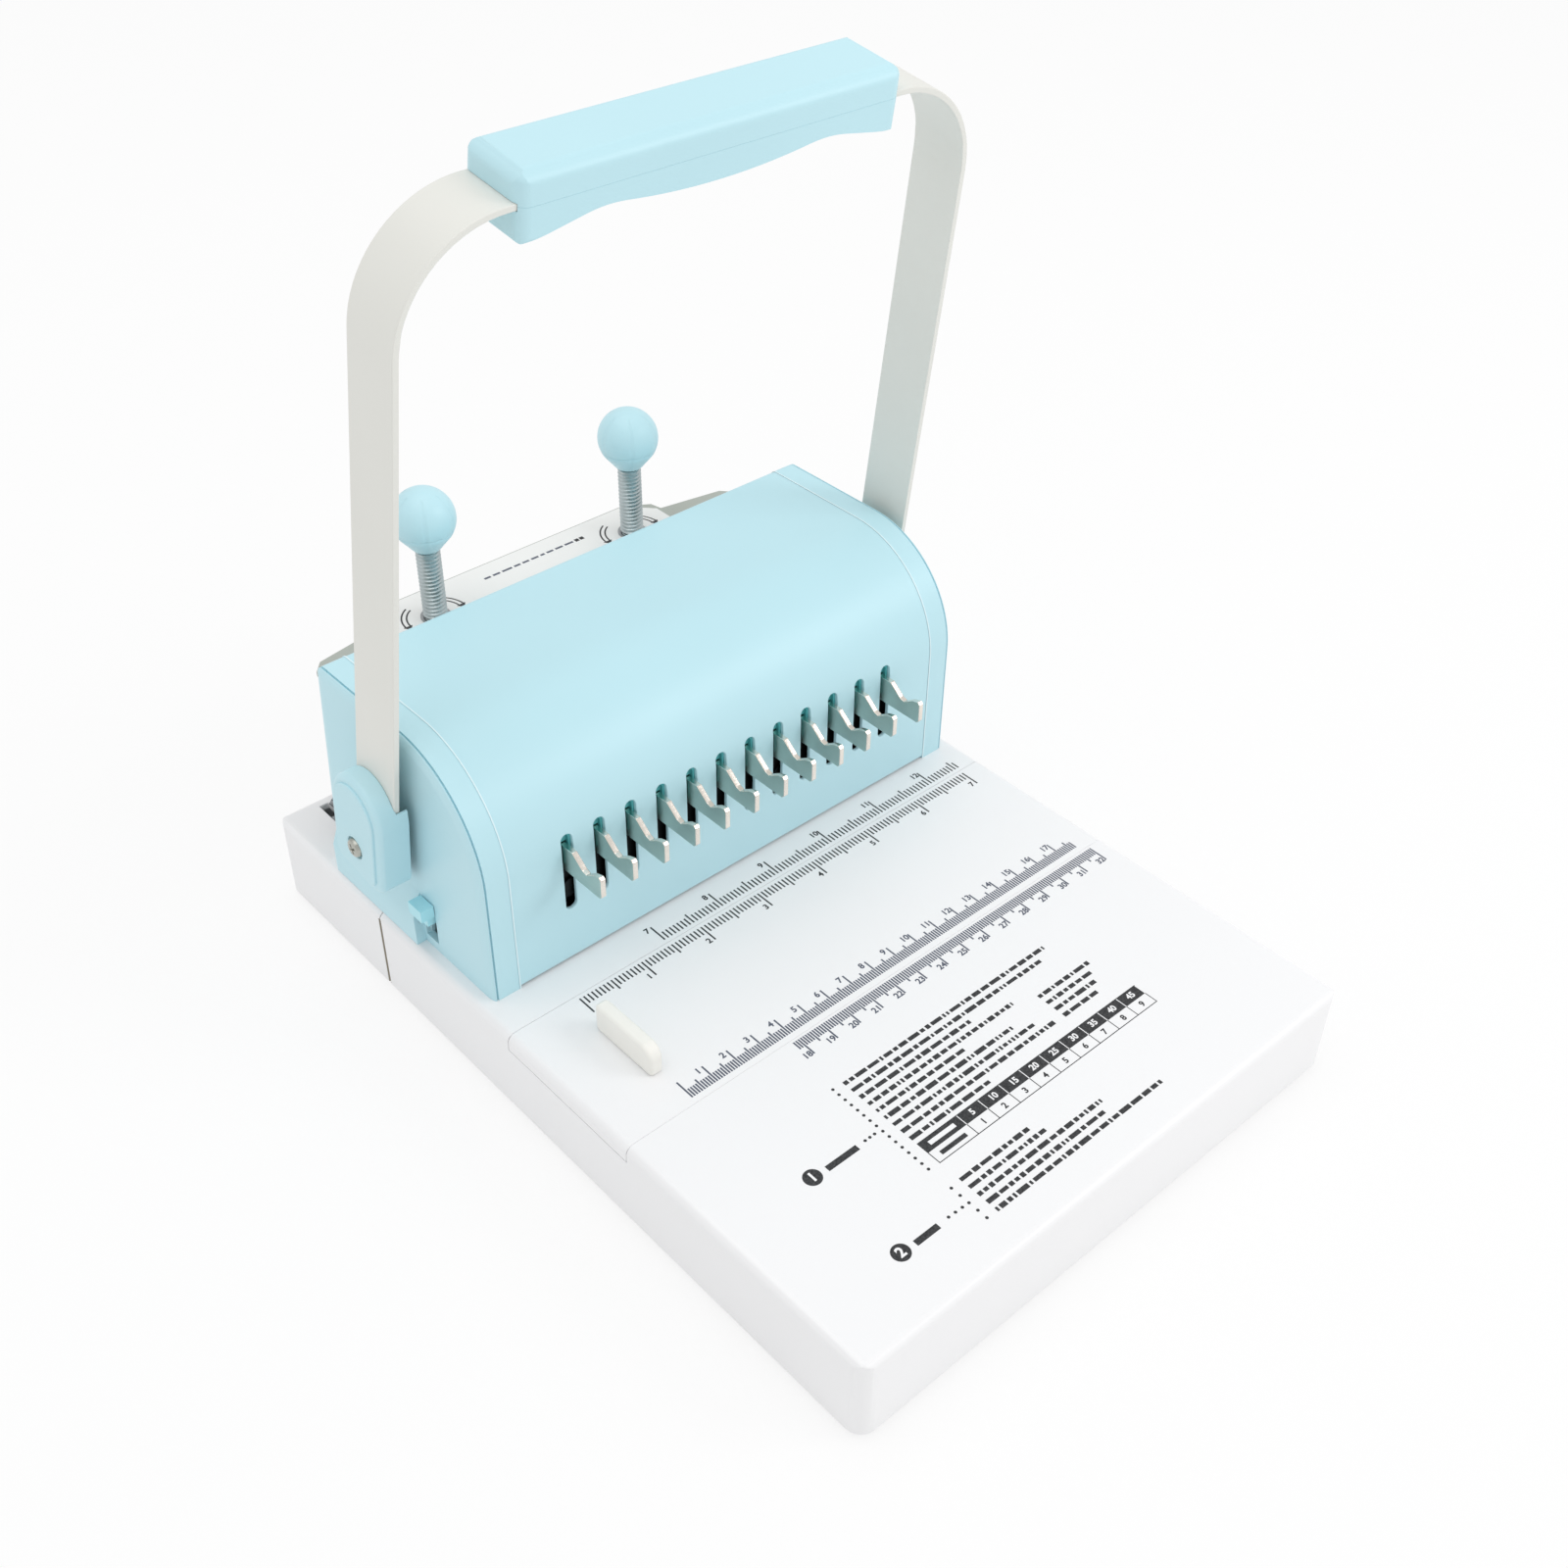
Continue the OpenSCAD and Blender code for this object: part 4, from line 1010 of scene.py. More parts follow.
@dataclass
class Outline:
    """Outline of the housing's side walls, seen along the machine's X axis."""

    front: float = field(init=False)
    foot: float = field(init=False)
    top: float = field(init=False)
    wall_x: float = field(init=False)
    margin: float = 5.4 * MM
    cover_inset: float = 0.1 * MM
    depth: float = 86.7 * MM
    front_r: float = 40 * MM
    rear_r: float = 3 * MM
    least_r: float = 0.6 * MM
    lean: float = math.radians(6)
    arc_steps: int = 48
    corner_steps: int = 8

    def __post_init__(self) -> None:
        """Reads the housing's place from the frame."""
        low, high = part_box("slotted_cover")
        self.front = low.y - self.cover_inset
        self.top = high.z + self.cover_inset
        self.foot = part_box("guide_strip")[1].z
        self.wall_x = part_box("base_shell")[1].x - self.margin

    def rear(self, z: float) -> float:
        """Gives the depth of the leaning rear wall at a height."""
        return self.front + self.depth + (self.top - z) * math.tan(self.lean)

    def ring(self, inset: float) -> list[Point]:
        """Gives the outline from the front foot over the top to the rear foot.

        Args:
            inset: How far inside the wall it runs.

        Returns:
            Depth and height of each point, always the same number of them.
        """
        r = self.front_r - inset
        corner = max(self.rear_r - inset, self.least_r)
        corner_z = self.top - inset - corner
        corner_y = self.rear(corner_z) - (inset + corner) / math.cos(self.lean)
        points = [(self.front + inset, self.foot)]
        for i in range(self.arc_steps + 1):
            angle = math.pi - math.pi / 2 * i / self.arc_steps
            points.append((self.front + self.front_r + r * math.cos(angle),
                           self.top - self.front_r + r * math.sin(angle)))
        for i in range(self.corner_steps + 1):
            angle = math.pi / 2 - (math.pi / 2 - self.lean) * i / self.corner_steps
            points.append((corner_y + corner * math.cos(angle), corner_z + corner * math.sin(angle)))
        points.append((self.rear(self.foot) - inset / math.cos(self.lean), self.foot))
        return points


@dataclass
class SidePanels:
    """Outer plates of the end caps, broadly rounded at their border, each behind a narrow gap.

    Each step of the border is an inset from the wall's outline and a level beside the wall, in millimetres.
    """

    outline: Outline = field(default_factory=Outline)
    steps: tuple[Point, ...] = (
        (0.9, -1.9), (0.9, -1.3), (0.4, -1.3), (0.16, -1.22), (0.1, -1.08), (0.24, -0.88), (0.55, -0.68),
        (1.2, -0.43), (2.0, -0.23), (2.9, -0.08), (3.7, 0.0), (4.3, 0.0))
    axle_hole: float = 8 * MM
    hole_steps: int = 40
    slot_top: float = 2.2 * MM
    slot_bottom: float = 13 * MM
    slot_half: float = 3.5 * MM
    slot_depth: float = 2.5 * MM

    def build(self) -> None:
        """Makes both plates."""
        for side, name in SIDES:
            self.panel(side, name)

    def holes(self, shape: bmesh.types.BMesh, side: int, x: float) -> list[list[bmesh.types.BMEdge]]:
        """Adds the rims of the axle's hole and, on the left, of the selector's slot.

        Args:
            shape: The plate.
            side: -1 on the left and 1 on the right.
            x: Place of the plate's face.

        Returns:
            The edges of each rim.
        """
        pivot = handle_pivot()
        angles = [2 * math.pi * i / self.hole_steps for i in range(self.hole_steps)]
        loops = [[(x, pivot.y + self.axle_hole * math.cos(a), pivot.z + self.axle_hole * math.sin(a))
                  for a in angles]]
        if side < 0:
            middle = middle_of("selector_tab")
            y0, y1 = middle.y - self.slot_half, middle.y + self.slot_half
            z0, z1 = middle.z - self.slot_bottom, middle.z + self.slot_top
            loops.append([(x, y0, z0), (x, y1, z0), (x, y1, z1), (x, y0, z1)])
        return [chain(shape, loop, closed=True)[1] for loop in loops]

    def panel(self, side: int, name: str) -> None:
        """Makes one plate.

        Args:
            side: -1 on the left and 1 on the right.
            name: The side's name.
        """
        shape = bmesh.new()
        rings = [[shape.verts.new((side * (self.outline.wall_x + level * MM), y, z))
                  for y, z in self.outline.ring(inset * MM)] for inset, level in self.steps]
        for outer, inner in zip(rings, rings[1:]):
            for i in range(len(outer) - 1):
                corners = [outer[i], inner[i], inner[i + 1], outer[i + 1]]
                shape.faces.new(corners if side > 0 else corners[::-1])
        last = rings[-1]
        border = [shape.edges.get(pair) for pair in zip(last, last[1:])]
        border.append(shape.edges.new((last[-1], last[0])))
        rims = self.holes(shape, side, last[0].co.x)
        bmesh.ops.triangle_fill(shape, use_beauty=True, edges=border + [e for rim in rims for e in rim],
                                normal=(side, 0, 0))
        for rim in rims:
            extruded(shape, rim, (-side * self.slot_depth, 0, 0))
        put(f"{name}_side_panel", shape, [BLUE], Body.CHASSIS, crease=50)


@dataclass
class EndCaps:
    """Bodies of the end caps, cut back to the seats of their outer plates."""

    outline: Outline = field(default_factory=Outline)
    skin_t: float = 1.2 * MM
    skin_drop: float = 1.85 * MM
    pad_h: float = 28 * MM
    pad_drop: float = 6.5 * MM
    edge_r: float = 0.5 * MM

    def build(self, side: str) -> None:
        """Makes one cap.

        Args:
            side: The side's name.
        """
        node = f"{side}_end_cap"
        shape = solid_of(node)
        wall = self.outline.wall_x
        seat = wall - self.skin_drop
        for vert in shape.verts:
            if abs(vert.co.z - self.outline.foot - self.pad_h) < SAME:
                vert.co.z -= self.pad_drop
            elif wall - self.skin_t - SAME < abs(vert.co.x) < wall + SAME:
                vert.co.x = math.copysign(seat, vert.co.x)
        bmesh.ops.remove_doubles(shape, verts=shape.verts, dist=CAP_WELD)
        bmesh.ops.dissolve_degenerate(shape, edges=shape.edges, dist=CAP_WELD)
        rounder = EdgeRounder(self.edge_r, wanted=lambda e: min(abs(v.co.x) for v in e.verts) < seat - SAME
                              or max(abs(v.co.x) for v in e.verts) > seat + SAME)
        shape = rounder.apply(shape)
        weighted(put(f"{side}_housing_cap", shape, [BLUE], Body.CHASSIS, [node]))


@dataclass
class HingeCaps:
    """Caps over the handle's hinges, broadly rounded at the outer rim below a raised face."""

    face_t: float = 0.8 * MM
    rim_r: float = 2.2 * MM
    rim_segments: int = 6
    face_r: float = 0.35 * MM
    back_r: float = 0.4 * MM

    def build(self, side: str) -> None:
        """Makes one cap.

        Args:
            side: The side's name.
        """
        node = f"{side}_pivot_cap"
        face_x = max(abs(corner.x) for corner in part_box(node))
        rim_x = face_x - self.face_t
        rim = EdgeRounder(self.rim_r, segments=self.rim_segments, wanted=lambda e: e.is_convex and all(
            abs(abs(v.co.x) - rim_x) < SAME for v in e.verts))
        face = EdgeRounder(self.face_r, wanted=lambda e: e.is_convex and all(
            abs(abs(v.co.x) - face_x) < SAME for v in e.verts))
        back = EdgeRounder(self.back_r, wanted=lambda e: e.is_convex and all(
            abs(v.co.x) < rim_x - SAME for v in e.verts))
        shape = back.apply(face.apply(rim.apply(solid_of(node))))
        weighted(put(f"{side}_hinge_cap", shape, [BLUE], Body.HANDLE, [node]))


@dataclass
class Grip:
    """Both halves of the handle's grip, the crown fuller and the corners beside the belly eased."""

    edge_r: float = 0.12 * MM
    crown_cad: float = 2.2 * MM
    crown_r: float = 4 * MM
    crown_cuts: tuple[float, ...] = (0.4 * MM, 0.75 * MM, 1.15 * MM, 1.6 * MM)
    corner_r: float = 4 * MM
    top_turn: float = 0.8
    flat_turn: float = 0.02
    end_turn: float = 0.9998
    crest_share: float = 0.29
    ease: float = 7 * MM
    ease_drop: float = 0.6 * MM
    ease_cuts: int = 5
    under: float = -0.25

    def build(self) -> None:
        """Makes both halves."""
        upper = solid_of("grip_upper")
        tops = [f for f in upper.faces if f.normal.z > self.top_turn]
        up = max(tops, key=lambda f: f.calc_area()).normal.copy()
        reach = max(v.co.x for v in upper.verts)
        self.crown(upper, up, reach)
        self.dress("grip_top_half", upper, "grip_upper")
        lower = solid_of("grip_lower")
        self.belly(lower, up, self.crest_share * 2 * reach)
        self.dress("grip_bottom_half", lower, "grip_lower")

    def dress(self, name: str, shape: bmesh.types.BMesh, node: str) -> None:
        """Rounds the edges of one half and makes its piece."""
        rounded = EdgeRounder(self.edge_r).apply(shape)
        weighted(put(name, rounded, [BLUE], Body.HANDLE, [node]))

    def cut_corners(self, upper: bmesh.types.BMesh, up: Vector, high: float) -> None:
        """Cuts the upright corners of the upper half at a few depths below its top.

        Args:
            upper: The upper half.
            up: The way its top faces.
            high: Height of its top along that way.
        """
        for depth in self.crown_cuts:
            corners = [f for f in upper.faces if abs(f.normal.dot(up)) < self.flat_turn
                       and self.flat_turn < abs(f.normal.x) < self.end_turn]
            edges = {e for f in corners for e in f.edges}
            verts = {v for f in corners for v in f.verts}
            bmesh.ops.bisect_plane(upper, geom=[*verts, *edges, *corners], plane_co=up * (high - depth),
                                   plane_no=up, dist=CUT_WELD)

    def corner_share(self, room: float) -> float:
        """Tells how far a place lies inside a corner, from 0 to 1."""
        return min(max(1 - room / self.corner_r, 0), 1)

    def crown(self, upper: bmesh.types.BMesh, up: Vector, reach: float) -> None:
        """Gives the upper half a fuller rounding along its top edges.

        Args:
            upper: The upper half.
            up: The way its top faces.
            reach: Half of its length.
        """
        across = up.cross(Vector((1, 0, 0)))
        sides = [v.co.dot(across) for v in upper.verts]
        middle = (max(sides) + min(sides)) / 2
        half = Vector((reach, (max(sides) - min(sides)) / 2, 0))
        high = max(v.co.dot(up) for v in upper.verts)
        grow = self.crown_r / self.crown_cad - 1
        self.cut_corners(upper, up, high)
        for vert in upper.verts:
            depth = max(high - vert.co.dot(up), 0.0)
            if depth > self.crown_cad + SAME:
                continue
            rest = self.crown_cad ** 2 - (self.crown_cad - depth) ** 2
            inset = self.crown_cad - math.sqrt(max(rest, 0.0))
            x, y = vert.co.x, vert.co.dot(across) - middle
            move_x = grow * inset * self.corner_share(half.x - abs(x) - inset)
            move_y = grow * inset * self.corner_share(half.y - abs(y) - inset)
            place = Vector((abs(x) - move_x, abs(y) - move_y, -depth * (1 + grow)))
            core = Vector((min(place.x, half.x - self.crown_r), min(place.y, half.y - self.crown_r),
                           -self.crown_r))
            place = core + (place - core).normalized() * self.crown_r
            along = Vector((math.copysign(place.x, x), 0, 0))
            vert.co = along + across * (middle + math.copysign(place.y, y)) + up * (high + place.z)

    def belly(self, lower: bmesh.types.BMesh, up: Vector, crest: float) -> None:
        """Eases the corners beside the belly of the lower half.

        Args:
            lower: The lower half.
            up: The way the grip's top faces.
            crest: How far from the middle the corners lie.
        """
        for place in range(-self.ease_cuts, self.ease_cuts + 1):
            for side, _ in SIDES:
                x = side * (crest + place * self.ease / self.ease_cuts)
                bmesh.ops.bisect_plane(lower, geom=[*lower.verts, *lower.edges, *lower.faces],
                                       plane_co=(x, 0, 0), plane_no=(1, 0, 0), dist=CUT_WELD)
        lower.normal_update()
        for vert in lower.verts:
            off = abs(abs(vert.co.x) - crest)
            if off < self.ease and vert.normal.dot(up) < self.under:
                vert.co -= up * self.ease_drop * (1 - off / self.ease) ** 2


@dataclass
class Shells:
    """White shells of the base and the drawer, with the strip that slides between two seams."""

    joint_r: float = 0.9 * MM
    joint_gap: float = 0.5 * MM
    edge_r: float = 0.4 * MM
    strip_r: float = 0.1 * MM
    seam_gap: float = 0.3 * MM
    seam_close: float = 0.1 * MM
    top_band: float = 1 * MM

    def build(self) -> None:
        """Makes the table, the strip and the drawer."""
        self.jointed("base_shell", "base_table", Body.CHASSIS)
        self.strip()
        self.jointed("chip_drawer", "chip_drawer_box", Body.DRAWER)

    def close(self, shape: bmesh.types.BMesh, top: float, moves: Iterable[Point]) -> None:
        """Moves long edges of the top to narrow a seam.

        Args:
            shape: The shell or the strip.
            top: Height of its top.
            moves: Depth of each edge and how far it moves.
        """
        for vert in shape.verts:
            for y, move in moves:
                if vert.co.z > top - self.top_band and abs(vert.co.y - y) < SAME:
                    vert.co.y += move

    def jointed(self, node: str, name: str, body: Body) -> None:
        """Makes a white shell, rounder and painted with shade at its outer joint, crisp along the sliding
        strip.

        Args:
            node: The solid to copy and replace.
            name: The new piece's name.
            body: The body that it moves with.
        """
        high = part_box("base_shell")[1]
        strip_low, strip_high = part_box("guide_strip")

        def at_joint(edge: bmesh.types.BMEdge) -> bool:
            """Tells if an edge lies on the outside of the joint between shell and drawer."""
            return all(abs(v.co.y - high.y) < self.joint_gap and (
                abs(v.co.x) > high.x - SAME or v.co.z > high.z - SAME) for v in edge.verts)

        def off_strip(edge: bmesh.types.BMEdge) -> bool:
            """Tells if an edge lies away from the seams of the sliding strip."""
            return not any(all(abs(v.co.y - y) < self.joint_gap for v in edge.verts)
                           for y in (strip_low.y, strip_high.y))

        shape = EdgeRounder(self.joint_r, wanted=at_joint).apply(solid_of(node))
        # Faces on the sides beside the outer joint take painted shade of the gap.
        for face in shape.faces:
            place = face.calc_center_median()
            outside = abs(place.x) > high.x - self.joint_r
            face.material_index = 1 if outside and abs(place.y - high.y) < self.joint_r else 0
        shape = EdgeRounder(self.edge_r, wanted=off_strip).apply(shape)
        self.close(shape, high.z, ((strip_low.y - self.seam_gap, self.seam_close),
                                   (strip_high.y + self.seam_gap, -self.seam_close)))
        weighted(put(name, shape, [WHITE, JOINT_SHADE], body, [node]))

    def strip(self) -> None:
        """Makes the sliding strip, its long top edges a little closer to the shell."""
        low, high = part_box("guide_strip")
        shape = solid_of("guide_strip")
        self.close(shape, high.z, ((low.y, -self.seam_close), (high.y, self.seam_close)))
        shape = EdgeRounder(self.strip_r).apply(shape)
        weighted(put("sliding_strip", shape, [WHITE], Body.STRIP, ["guide_strip"]))


@dataclass
class Mouldings:
    """Softened copies of the solids that show, with the small radii that moulds and presses leave."""

    cover_r: float = 0.35 * MM
    tab_r: float = 0.8 * MM
    stop_r: float = 1.3 * MM
    sheet_r: float = 0.4 * MM
    lip_slope: float = 8 * MM
    hook_r: float = 0.25 * MM
    hook_least: float = 20.0
    face_turn: float = 0.8

    def build(self) -> None:
        """Makes every softened piece."""
        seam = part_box("slotted_cover")[1].x - SAME
        self.soften("slotted_cover", "front_cover", BLUE, Body.CHASSIS, self.cover_r,
                    lambda e: min(abs(v.co.x) for v in e.verts) < seam)
        for _, side in SIDES:
            EndCaps().build(side)
            HingeCaps().build(side)
        Grip().build()
        self.soften("selector_tab", "selector_button", TEAL, Body.SELECTOR, self.tab_r)
        Shells().build()
        self.soften("edge_stop", "paper_edge_stop", IVORY, Body.STRIP, self.stop_r)
        self.soften("handle_strap", "bent_strap", STRAP_PAINT, Body.HANDLE, self.sheet_r)
        self.soften("rear_bracket", "shelf_bracket", SHELF_PAINT, Body.CHASSIS, self.sheet_r)
        self.anvil()
        self.hooks()

    def soften(self, node: str, name: str, finish: Finish, body: Body, radius: float,
               wanted: Optional[Pick] = None) -> None:
        """Makes one softened copy.

        Args:
            node: The solid to copy and replace.
            name: The new piece's name.
            finish: Its finish.
            body: The body that it moves with.
            radius: Radius of its edges.
            wanted: Picks the edges to round, all sharp ones by default.
        """
        shape = EdgeRounder(radius, wanted=wanted).apply(solid_of(node))
        weighted(put(name, shape, [finish], body, [node]))

    def anvil(self) -> None:
        """Makes the wire anvil, the ends of its lip sloped."""
        shape = solid_of("anvil_rail")
        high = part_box("anvil_rail")[1]
        for vert in shape.verts:
            if vert.co.z > high.z - SAME and abs(vert.co.x) > high.x - SAME:
                vert.co.x -= math.copysign(self.lip_slope, vert.co.x)
        put("wire_anvil", shape, [ZINC], Body.CHASSIS, ["anvil_rail"])

    def hooks(self) -> None:
        """Makes the comb hooks: teal painted reflection on satin faces, painted highlight on polished cut
        edges.
        """
        shape = EdgeRounder(self.hook_r, least=self.hook_least).apply(solid_of("comb_hooks"))
        # Faces turned sideways take the painted reflection, all other faces the painted highlight.
        for face in shape.faces:
            face.material_index = 0 if abs(face.normal.x) > self.face_turn else 1
        weighted(put("comb_fingers", shape, [HOOK_SATIN_REFLECTION, POLISHED_HIGHLIGHT], Body.PRESS, ["comb_hooks"]))


@dataclass
class CoverSeams:
    """Pale strips along the joints between the cover and the end caps: a painted highlight for the light that
    the joints' edges catch.
    """

    outline: Outline = field(default_factory=Outline)
    width: float = 0.45 * MM
    proud: float = 0.08 * MM

    def build(self) -> None:
        """Makes both edges as one piece."""
        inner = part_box("slotted_cover")[1].x
        shape = bmesh.new()
        for side, _ in SIDES:
            edges = chain(shape, [(side * inner, y, z) for y, z in self.outline.ring(-self.proud)])[1]
            extruded(shape, edges, (side * self.width, 0, 0))
        bmesh.ops.solidify(shape, geom=shape.faces[:], thickness=self.proud * 2)
        bmesh.ops.recalc_face_normals(shape, faces=shape.faces)
        # The strips are a painted highlight along the joints.
        put("cover_seam_highlights", shape, [HIGHLIGHT_BLUE], Body.CHASSIS)


@dataclass
class SlotCollars:
    """Collars behind the upper ends of the cover's slots, which give the slots their depth, darker than the
    cover as painted shade.
    """

    pitch: float = 12.7 * MM
    count: int = 12
    half: float = 2.2 * MM
    wall: float = 0.8 * MM
    front: float = 1.5 * MM
    rear: float = 3.1 * MM
    skirt: float = 10 * MM
    back_drop: float = 1.9 * MM
    steps: int = 14

    def build(self) -> None:
        """Makes all collars as one piece."""
        cover = frame["nodes"]["slotted_cover"].data
        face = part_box("slotted_cover")[0].y
        first = -(self.count - 1) / 2 * self.pitch
        top = max(v.co.z for v in cover.vertices
                  if abs(v.co.x - first) < self.half / 4 and v.co.y < face + self.rear)
        shape = bmesh.new()
        for i in range(self.count):
            self.collar(shape, first + i * self.pitch, face, top - self.half)
        bmesh.ops.recalc_face_normals(shape, faces=shape.faces)
        # The collars take the darker teal as painted shade.
        put("slot_collars", shape, [SHADED_TEAL], Body.CHASSIS)

    def collar(self, shape: bmesh.types.BMesh, x: float, face: float, middle: float) -> None:
        """Adds one arched collar.

        Args:
            shape: The bmesh that gets it.
            x: Middle of the slot.
            face: Depth of the cover's outer face.
            middle: Height of the arch's centre.
        """
        r = self.half
        angles = [math.pi * i / self.steps for i in range(self.steps + 1)]
        arch = [(x + r * math.cos(a), middle + r * math.sin(a)) for a in angles]
        path = [(x + r, middle - self.skirt), *arch, (x - r, middle - self.skirt)]
        edges = chain(shape, [(px, face + self.front, pz) for px, pz in path])[1]
        made = extruded(shape, edges, (0, self.rear - self.front, 0))
        bmesh.ops.solidify(shape, geom=of_kind(made, bmesh.types.BMFace), thickness=self.wall)
        bar(shape, (x - r, face + self.rear - self.wall / 2, middle - self.back_drop),
            (x + r, face + self.rear, middle + r))


@dataclass
class PivotScrews:
    """Small cross-head screws sunk in the middle of the hinge caps."""

    flat_r: float = 2.3 * MM
    head_r: float = 3.5 * MM
    head_h: float = 2.0 * MM
    full_h: float = 2.4 * MM
    wing: float = 1.9 * MM
    width: float = 0.42 * MM
    recess: float = 1.0 * MM
    floor_share: float = 0.6
    dome_shares: tuple[float, ...] = (0.35, 0.7, 1.0)
    segments: int = 36
    turn: float = 25.0

    def build(self) -> None:
        """Makes both screws."""
        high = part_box("pivot_screws")[1]
        pivot = handle_pivot()
        spin = Matrix.Rotation(math.radians(self.turn), 4, "Z")
        head = self.head()
        shape = bmesh.new()
        for side, _ in SIDES:
            place = Matrix.Translation((side * (high.x - self.full_h), pivot.y, pivot.z))
            copy = head.copy()
            copy.transform(place @ Matrix.Rotation(side * math.pi / 2, 4, "Y") @ spin)
            shape.from_mesh(copy)
            bpy.data.meshes.remove(copy)
        bpy.data.meshes.remove(head)
        bmesh.ops.recalc_face_normals(shape, faces=shape.faces)
        put("hinge_screws", shape, [NICKEL], Body.HANDLE, ["pivot_screws"], crease=30)

    def head(self) -> bpy.types.Mesh:
        """Gives one head with a cross recess, its seat at height 0."""
        shape = bmesh.new()
        rim = bmesh.ops.create_circle(shape, segments=self.segments, radius=self.flat_r,
                                      matrix=Matrix.Translation((0, 0, self.head_h)))["verts"]
        ring = list({e for v in rim for e in v.link_edges})
        a, b = self.wing, self.width
        corners = [(a, -b), (a, b), (b, b), (b, a), (-b, a), (-b, b), (-a, b), (-a, -b), (-b, -b), (-b, -a),
                   (b, -a), (b, -b)]
        cross = chain(shape, [(x, y, self.head_h) for x, y in corners], closed=True)[1]
        bmesh.ops.triangle_fill(shape, use_beauty=True, edges=ring + cross, normal=(0, 0, 1))
        floor_edges, floor = self.grow(shape, cross)
        for vert in floor:
            vert.co.xy *= self.floor_share
            vert.co.z -= self.recess
        bmesh.ops.edgeloop_fill(shape, edges=floor_edges)
        for share in self.dome_shares:
            ring, fresh = self.grow(shape, ring)
            radius = self.flat_r + (self.head_r - self.flat_r) * math.sin(share * math.pi / 2)
            for vert in fresh:
                vert.co.xy = vert.co.xy.normalized() * radius
                vert.co.z = self.head_h * math.cos(share * math.pi / 2)
        bmesh.ops.recalc_face_normals(shape, faces=shape.faces)
        data = bpy.data.meshes.new("screw_head")
        shape.to_mesh(data)
        shape.free()
        return data

    def grow(self, shape: bmesh.types.BMesh, edges: list[bmesh.types.BMEdge]) -> tuple[list, list]:
        """Extrudes a loop of edges in place.

        Args:
            shape: The head.
            edges: The loop.

        Returns:
            The new loop's edges and corners.
        """
        made = extruded(shape, edges)
        verts = of_kind(made, bmesh.types.BMVert)
        fresh = set(verts)
        return [e for e in of_kind(made, bmesh.types.BMEdge) if fresh.issuperset(e.verts)], verts


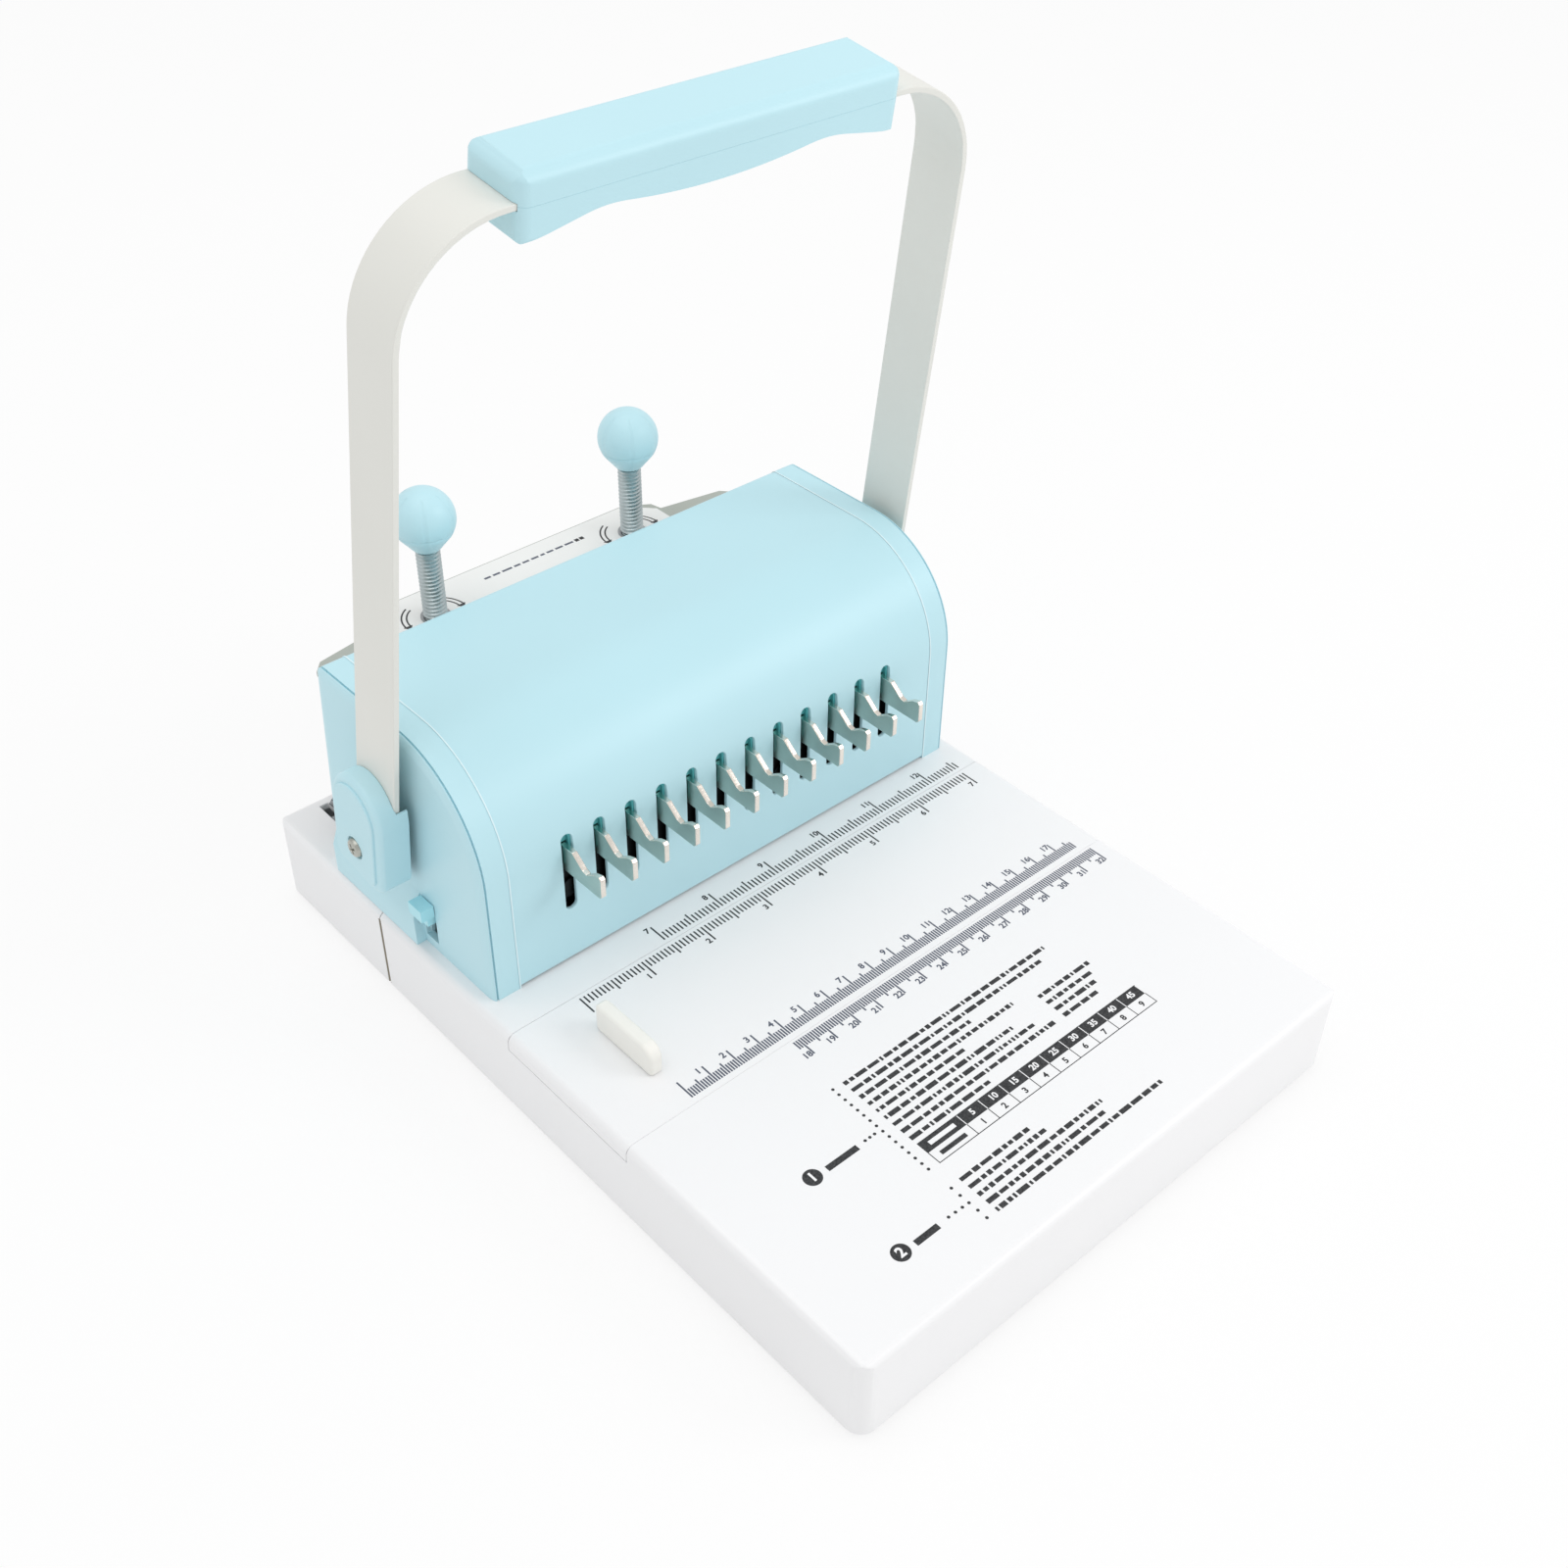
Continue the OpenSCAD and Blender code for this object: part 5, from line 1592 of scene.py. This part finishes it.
@dataclass
class RearLabel:
    """White film on the shelf, with word bars and an arrow each side of both screws."""

    film: float = 0.12 * MM
    half: float = 61.3 * MM
    rear_half: float = 52.2 * MM
    margin: float = 0.8 * MM
    front_y: float = 119 * MM
    shoulder: float = 9.6 * MM
    word_y: float = 142.2 * MM
    word_h: float = 1.05 * MM
    word_ends: Point = (-17 * MM, 19 * MM)
    word_lengths: Point = (1.2, 4.5)
    word_gap: float = 1.0 * MM
    word_seed: int = 11
    mark_places: Point = (23.4 * MM, 25.6 * MM)
    mark_w: float = 1.7 * MM
    mark_drop: float = 0.4 * MM
    mark_rise: float = 1.4 * MM
    arrow_r: float = 11 * MM
    arrow_w: float = 0.6 * MM
    arrow_gap: float = 0.9 * MM
    arrow_sweeps: tuple[Point, ...] = ((62, -58), (118, 58))
    arrow_steps: int = 12
    head_r: float = 1.8 * MM
    head_share: float = 1.4

    def __post_init__(self) -> None:
        """Reads the shelf's rear edge and height."""
        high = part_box("rear_bracket")[1]
        self.rear = high.y - self.margin
        self.shelf = high.z
        self.z = high.z + self.film

    def build(self) -> None:
        """Makes the film and its print."""
        shape = bmesh.new()
        side_y = self.rear - self.shoulder
        outline = [(-self.half, self.front_y), (self.half, self.front_y), (self.half, side_y),
                   (self.rear_half, self.rear), (-self.rear_half, self.rear), (-self.half, side_y)]
        raised(shape, [(x, y, self.shelf) for x, y in outline], self.film)
        bmesh.ops.recalc_face_normals(shape, faces=shape.faces)
        put("shelf_label", shape, [LABEL], Body.CHASSIS)
        self.words()
        self.marks()

    def words(self) -> None:
        """Prints a row of short bars in place of reading matter."""
        shape = bmesh.new()
        draw = random.Random(self.word_seed)
        x, right = self.word_ends
        while x < right:
            length = draw.uniform(*self.word_lengths) * MM
            bar(shape, (x, self.word_y, self.z), (x + length, self.word_y + self.word_h, self.z + FILM))
            x += length + self.word_gap
        put("shelf_words", shape, [GREY_INK], Body.CHASSIS)

    def marks(self) -> None:
        """Prints two dark marks beside the words and the arrows round the screws."""
        shape = bmesh.new()
        for x in self.mark_places:
            bar(shape, (x, self.word_y - self.mark_drop, self.z),
                (x + self.mark_w, self.word_y + self.mark_rise, self.z + FILM))
        for side, _ in ADJUSTERS:
            centre = Vector((*middle_of(f"{side}_adjusting_screw").xy, self.z))
            for start, sweep in self.arrow_sweeps:
                self.arrow(shape, centre, start, sweep)
        put("turn_arrows", shape, [BLACK_INK], Body.CHASSIS)

    def arrow(self, shape: bmesh.types.BMesh, centre: Vector, start: float, sweep: float) -> None:
        """Adds one curved arrow with a double shaft.

        Args:
            shape: The print.
            centre: Middle of the arc, on the film.
            start: Where the arc begins, in degrees.
            sweep: Its length in degrees, negative for clockwise.
        """
        angles = [math.radians(start + sweep * i / self.arrow_steps) for i in range(self.arrow_steps + 1)]
        for middle in (self.arrow_r - self.arrow_gap, self.arrow_r + self.arrow_gap):
            inner, outer = [[centre + Vector((r * math.cos(a), r * math.sin(a), 0)) for a in angles]
                            for r in (middle - self.arrow_w / 2, middle + self.arrow_w / 2)]
            raised(shape, inner + outer[::-1], FILM)
        end = angles[-1]
        ahead = end + math.copysign(math.pi / 2, sweep)
        tip = centre + self.arrow_r * Vector((math.cos(end), math.sin(end), 0))
        toward = Vector((math.cos(ahead), math.sin(ahead), 0))
        across = Vector((-toward.y, toward.x, 0)) * self.head_r
        raised(shape, (tip + toward * self.head_r * self.head_share, tip + across, tip - across), FILM)
        bmesh.ops.recalc_face_normals(shape, faces=shape.faces)


@dataclass(frozen=True)
class Softbox:
    """A square lamp: its name, place and aim, the side of its square and its watts."""

    name: str
    place: Colour
    aim: Colour
    size: float
    power: float


@dataclass
class Studio:
    """Pale floor, soft light and the camera."""

    lens: float = 41.97
    sensor: float = 36.0
    clip_start: float = 0.01
    place: Colour = (-0.31364, -0.34172, 0.45773)
    elevation: float = 38.775
    azimuth: float = -42.528
    roll: float = 0.92
    floor_half: float = 5.0
    floor_glow: float = 0.8
    room_light: float = 0.79
    lamps: tuple[Softbox, ...] = (
        Softbox("top_softbox", (-0.25, 0.1, 2.2), (0, 0, 0.05), 2.0, 11.8),
        Softbox("front_softbox", (0.88, -1.0, 0.92), (0, 0, 0.08), 0.6, 4.4))

    def build(self) -> None:
        """Sets up the floor, lights, world and camera."""
        self.camera()
        self.floor()
        self.world()
        for lamp in self.lamps:
            self.hang(lamp)
        bpy.context.scene.view_settings.view_transform = "Standard"

    def camera(self) -> None:
        """Places the camera where the photograph was taken."""
        data = bpy.data.cameras.new("photo_camera")
        data.sensor_width = self.sensor
        data.lens = self.lens
        data.clip_start = self.clip_start
        holder = bpy.data.objects.new("photo_camera", data)
        turn = (Matrix.Rotation(math.radians(self.azimuth), 4, "Z")
                @ Matrix.Rotation(math.radians(90 - self.elevation), 4, "X")
                @ Matrix.Rotation(math.radians(self.roll), 4, "Z"))
        holder.matrix_world = Matrix.Translation(self.place) @ turn
        bpy.context.scene.collection.objects.link(holder)
        bpy.context.scene.camera = holder

    def floor(self) -> None:
        """Lays a white floor that keeps a faint shadow."""
        shape = bmesh.new()
        bmesh.ops.create_grid(shape, x_segments=1, y_segments=1, size=self.floor_half)
        data = bpy.data.meshes.new("floor")
        shape.to_mesh(data)
        shape.free()
        holder = bpy.data.objects.new("floor", data)
        bpy.context.scene.collection.objects.link(holder)
        data.materials.append(self.paper())

    def paper(self) -> bpy.types.Material:
        """Makes the floor's material, which glows where the camera sees it."""
        shader = Shader("floor_paper")
        camera, glossy, through = [shader.node("ShaderNodeLightPath", output=f"Is {ray} Ray")
                                   for ray in ("Camera", "Glossy", "Transmission")]
        seen = camera + glossy + through
        tone = shader.blend(shader.noise(30, 2), (0.9, 0.9, 0.9), (0.92, 0.92, 0.92))
        paper = shader.node("ShaderNodeBsdfPrincipled", {}, {
            "Base Color": tone, "Roughness": 0.9, "Specular IOR Level": 0.0})
        glow = shader.node("ShaderNodeEmission", {}, {"Color": (0.995, 0.995, 0.995), "Strength": 1.0})
        mixed = shader.node("ShaderNodeMixShader", {}, {0: seen * self.floor_glow, 1: paper, 2: glow})
        shader.node("ShaderNodeOutputMaterial", {}, {"Surface": mixed})
        return shader.material

    def world(self) -> None:
        """Fills the room with even white light."""
        world = bpy.data.worlds.new("white_room")
        world.use_nodes = True
        back = world.node_tree.nodes["Background"]
        back.inputs["Color"].default_value = (1.0, 1.0, 1.0, 1.0)
        back.inputs["Strength"].default_value = self.room_light
        bpy.context.scene.world = world

    def hang(self, lamp: Softbox) -> None:
        """Adds a softbox.

        Args:
            lamp: Its place, size and power.
        """
        data = bpy.data.lights.new(lamp.name, "AREA")
        data.size = lamp.size
        data.energy = lamp.power
        holder = bpy.data.objects.new(lamp.name, data)
        holder.location = lamp.place
        toward = Vector(lamp.aim) - Vector(lamp.place)
        holder.rotation_euler = toward.to_track_quat("-Z", "Y").to_euler()
        bpy.context.scene.collection.objects.link(holder)


def dress_nodes() -> None:
    """Gives every node that stays in view its finish."""
    for node, finish in NODE_FINISH.items():
        data = frame["nodes"][node].data
        data.materials.clear()
        data.materials.append(finish.material())


def coil_springs() -> None:
    """Makes the return springs, with a mesh of their own."""
    node = "return_springs"
    piece = put("coil_springs", solid_of(node), [ZINC], Body.CHASSIS, [node])
    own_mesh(piece)


def write_sizes() -> None:
    """Brings the view layer up to date."""
    bpy.context.view_layer.update()


def main() -> None:
    """Builds the machine's looks in order."""
    logging.basicConfig(level=logging.INFO, format="%(name)s %(message)s")
    Studio().build()
    dress_nodes()
    Mouldings().build()
    SidePanels().build()
    CoverSeams().build()
    SlotCollars().build()
    coil_springs()
    AdjustingScrews().build()
    BallKnobs().build()
    PivotScrews().build()
    Rulers().build()
    StepPanel().build()
    RearLabel().build()
    write_sizes()


if __name__ == "__main__":
    main()
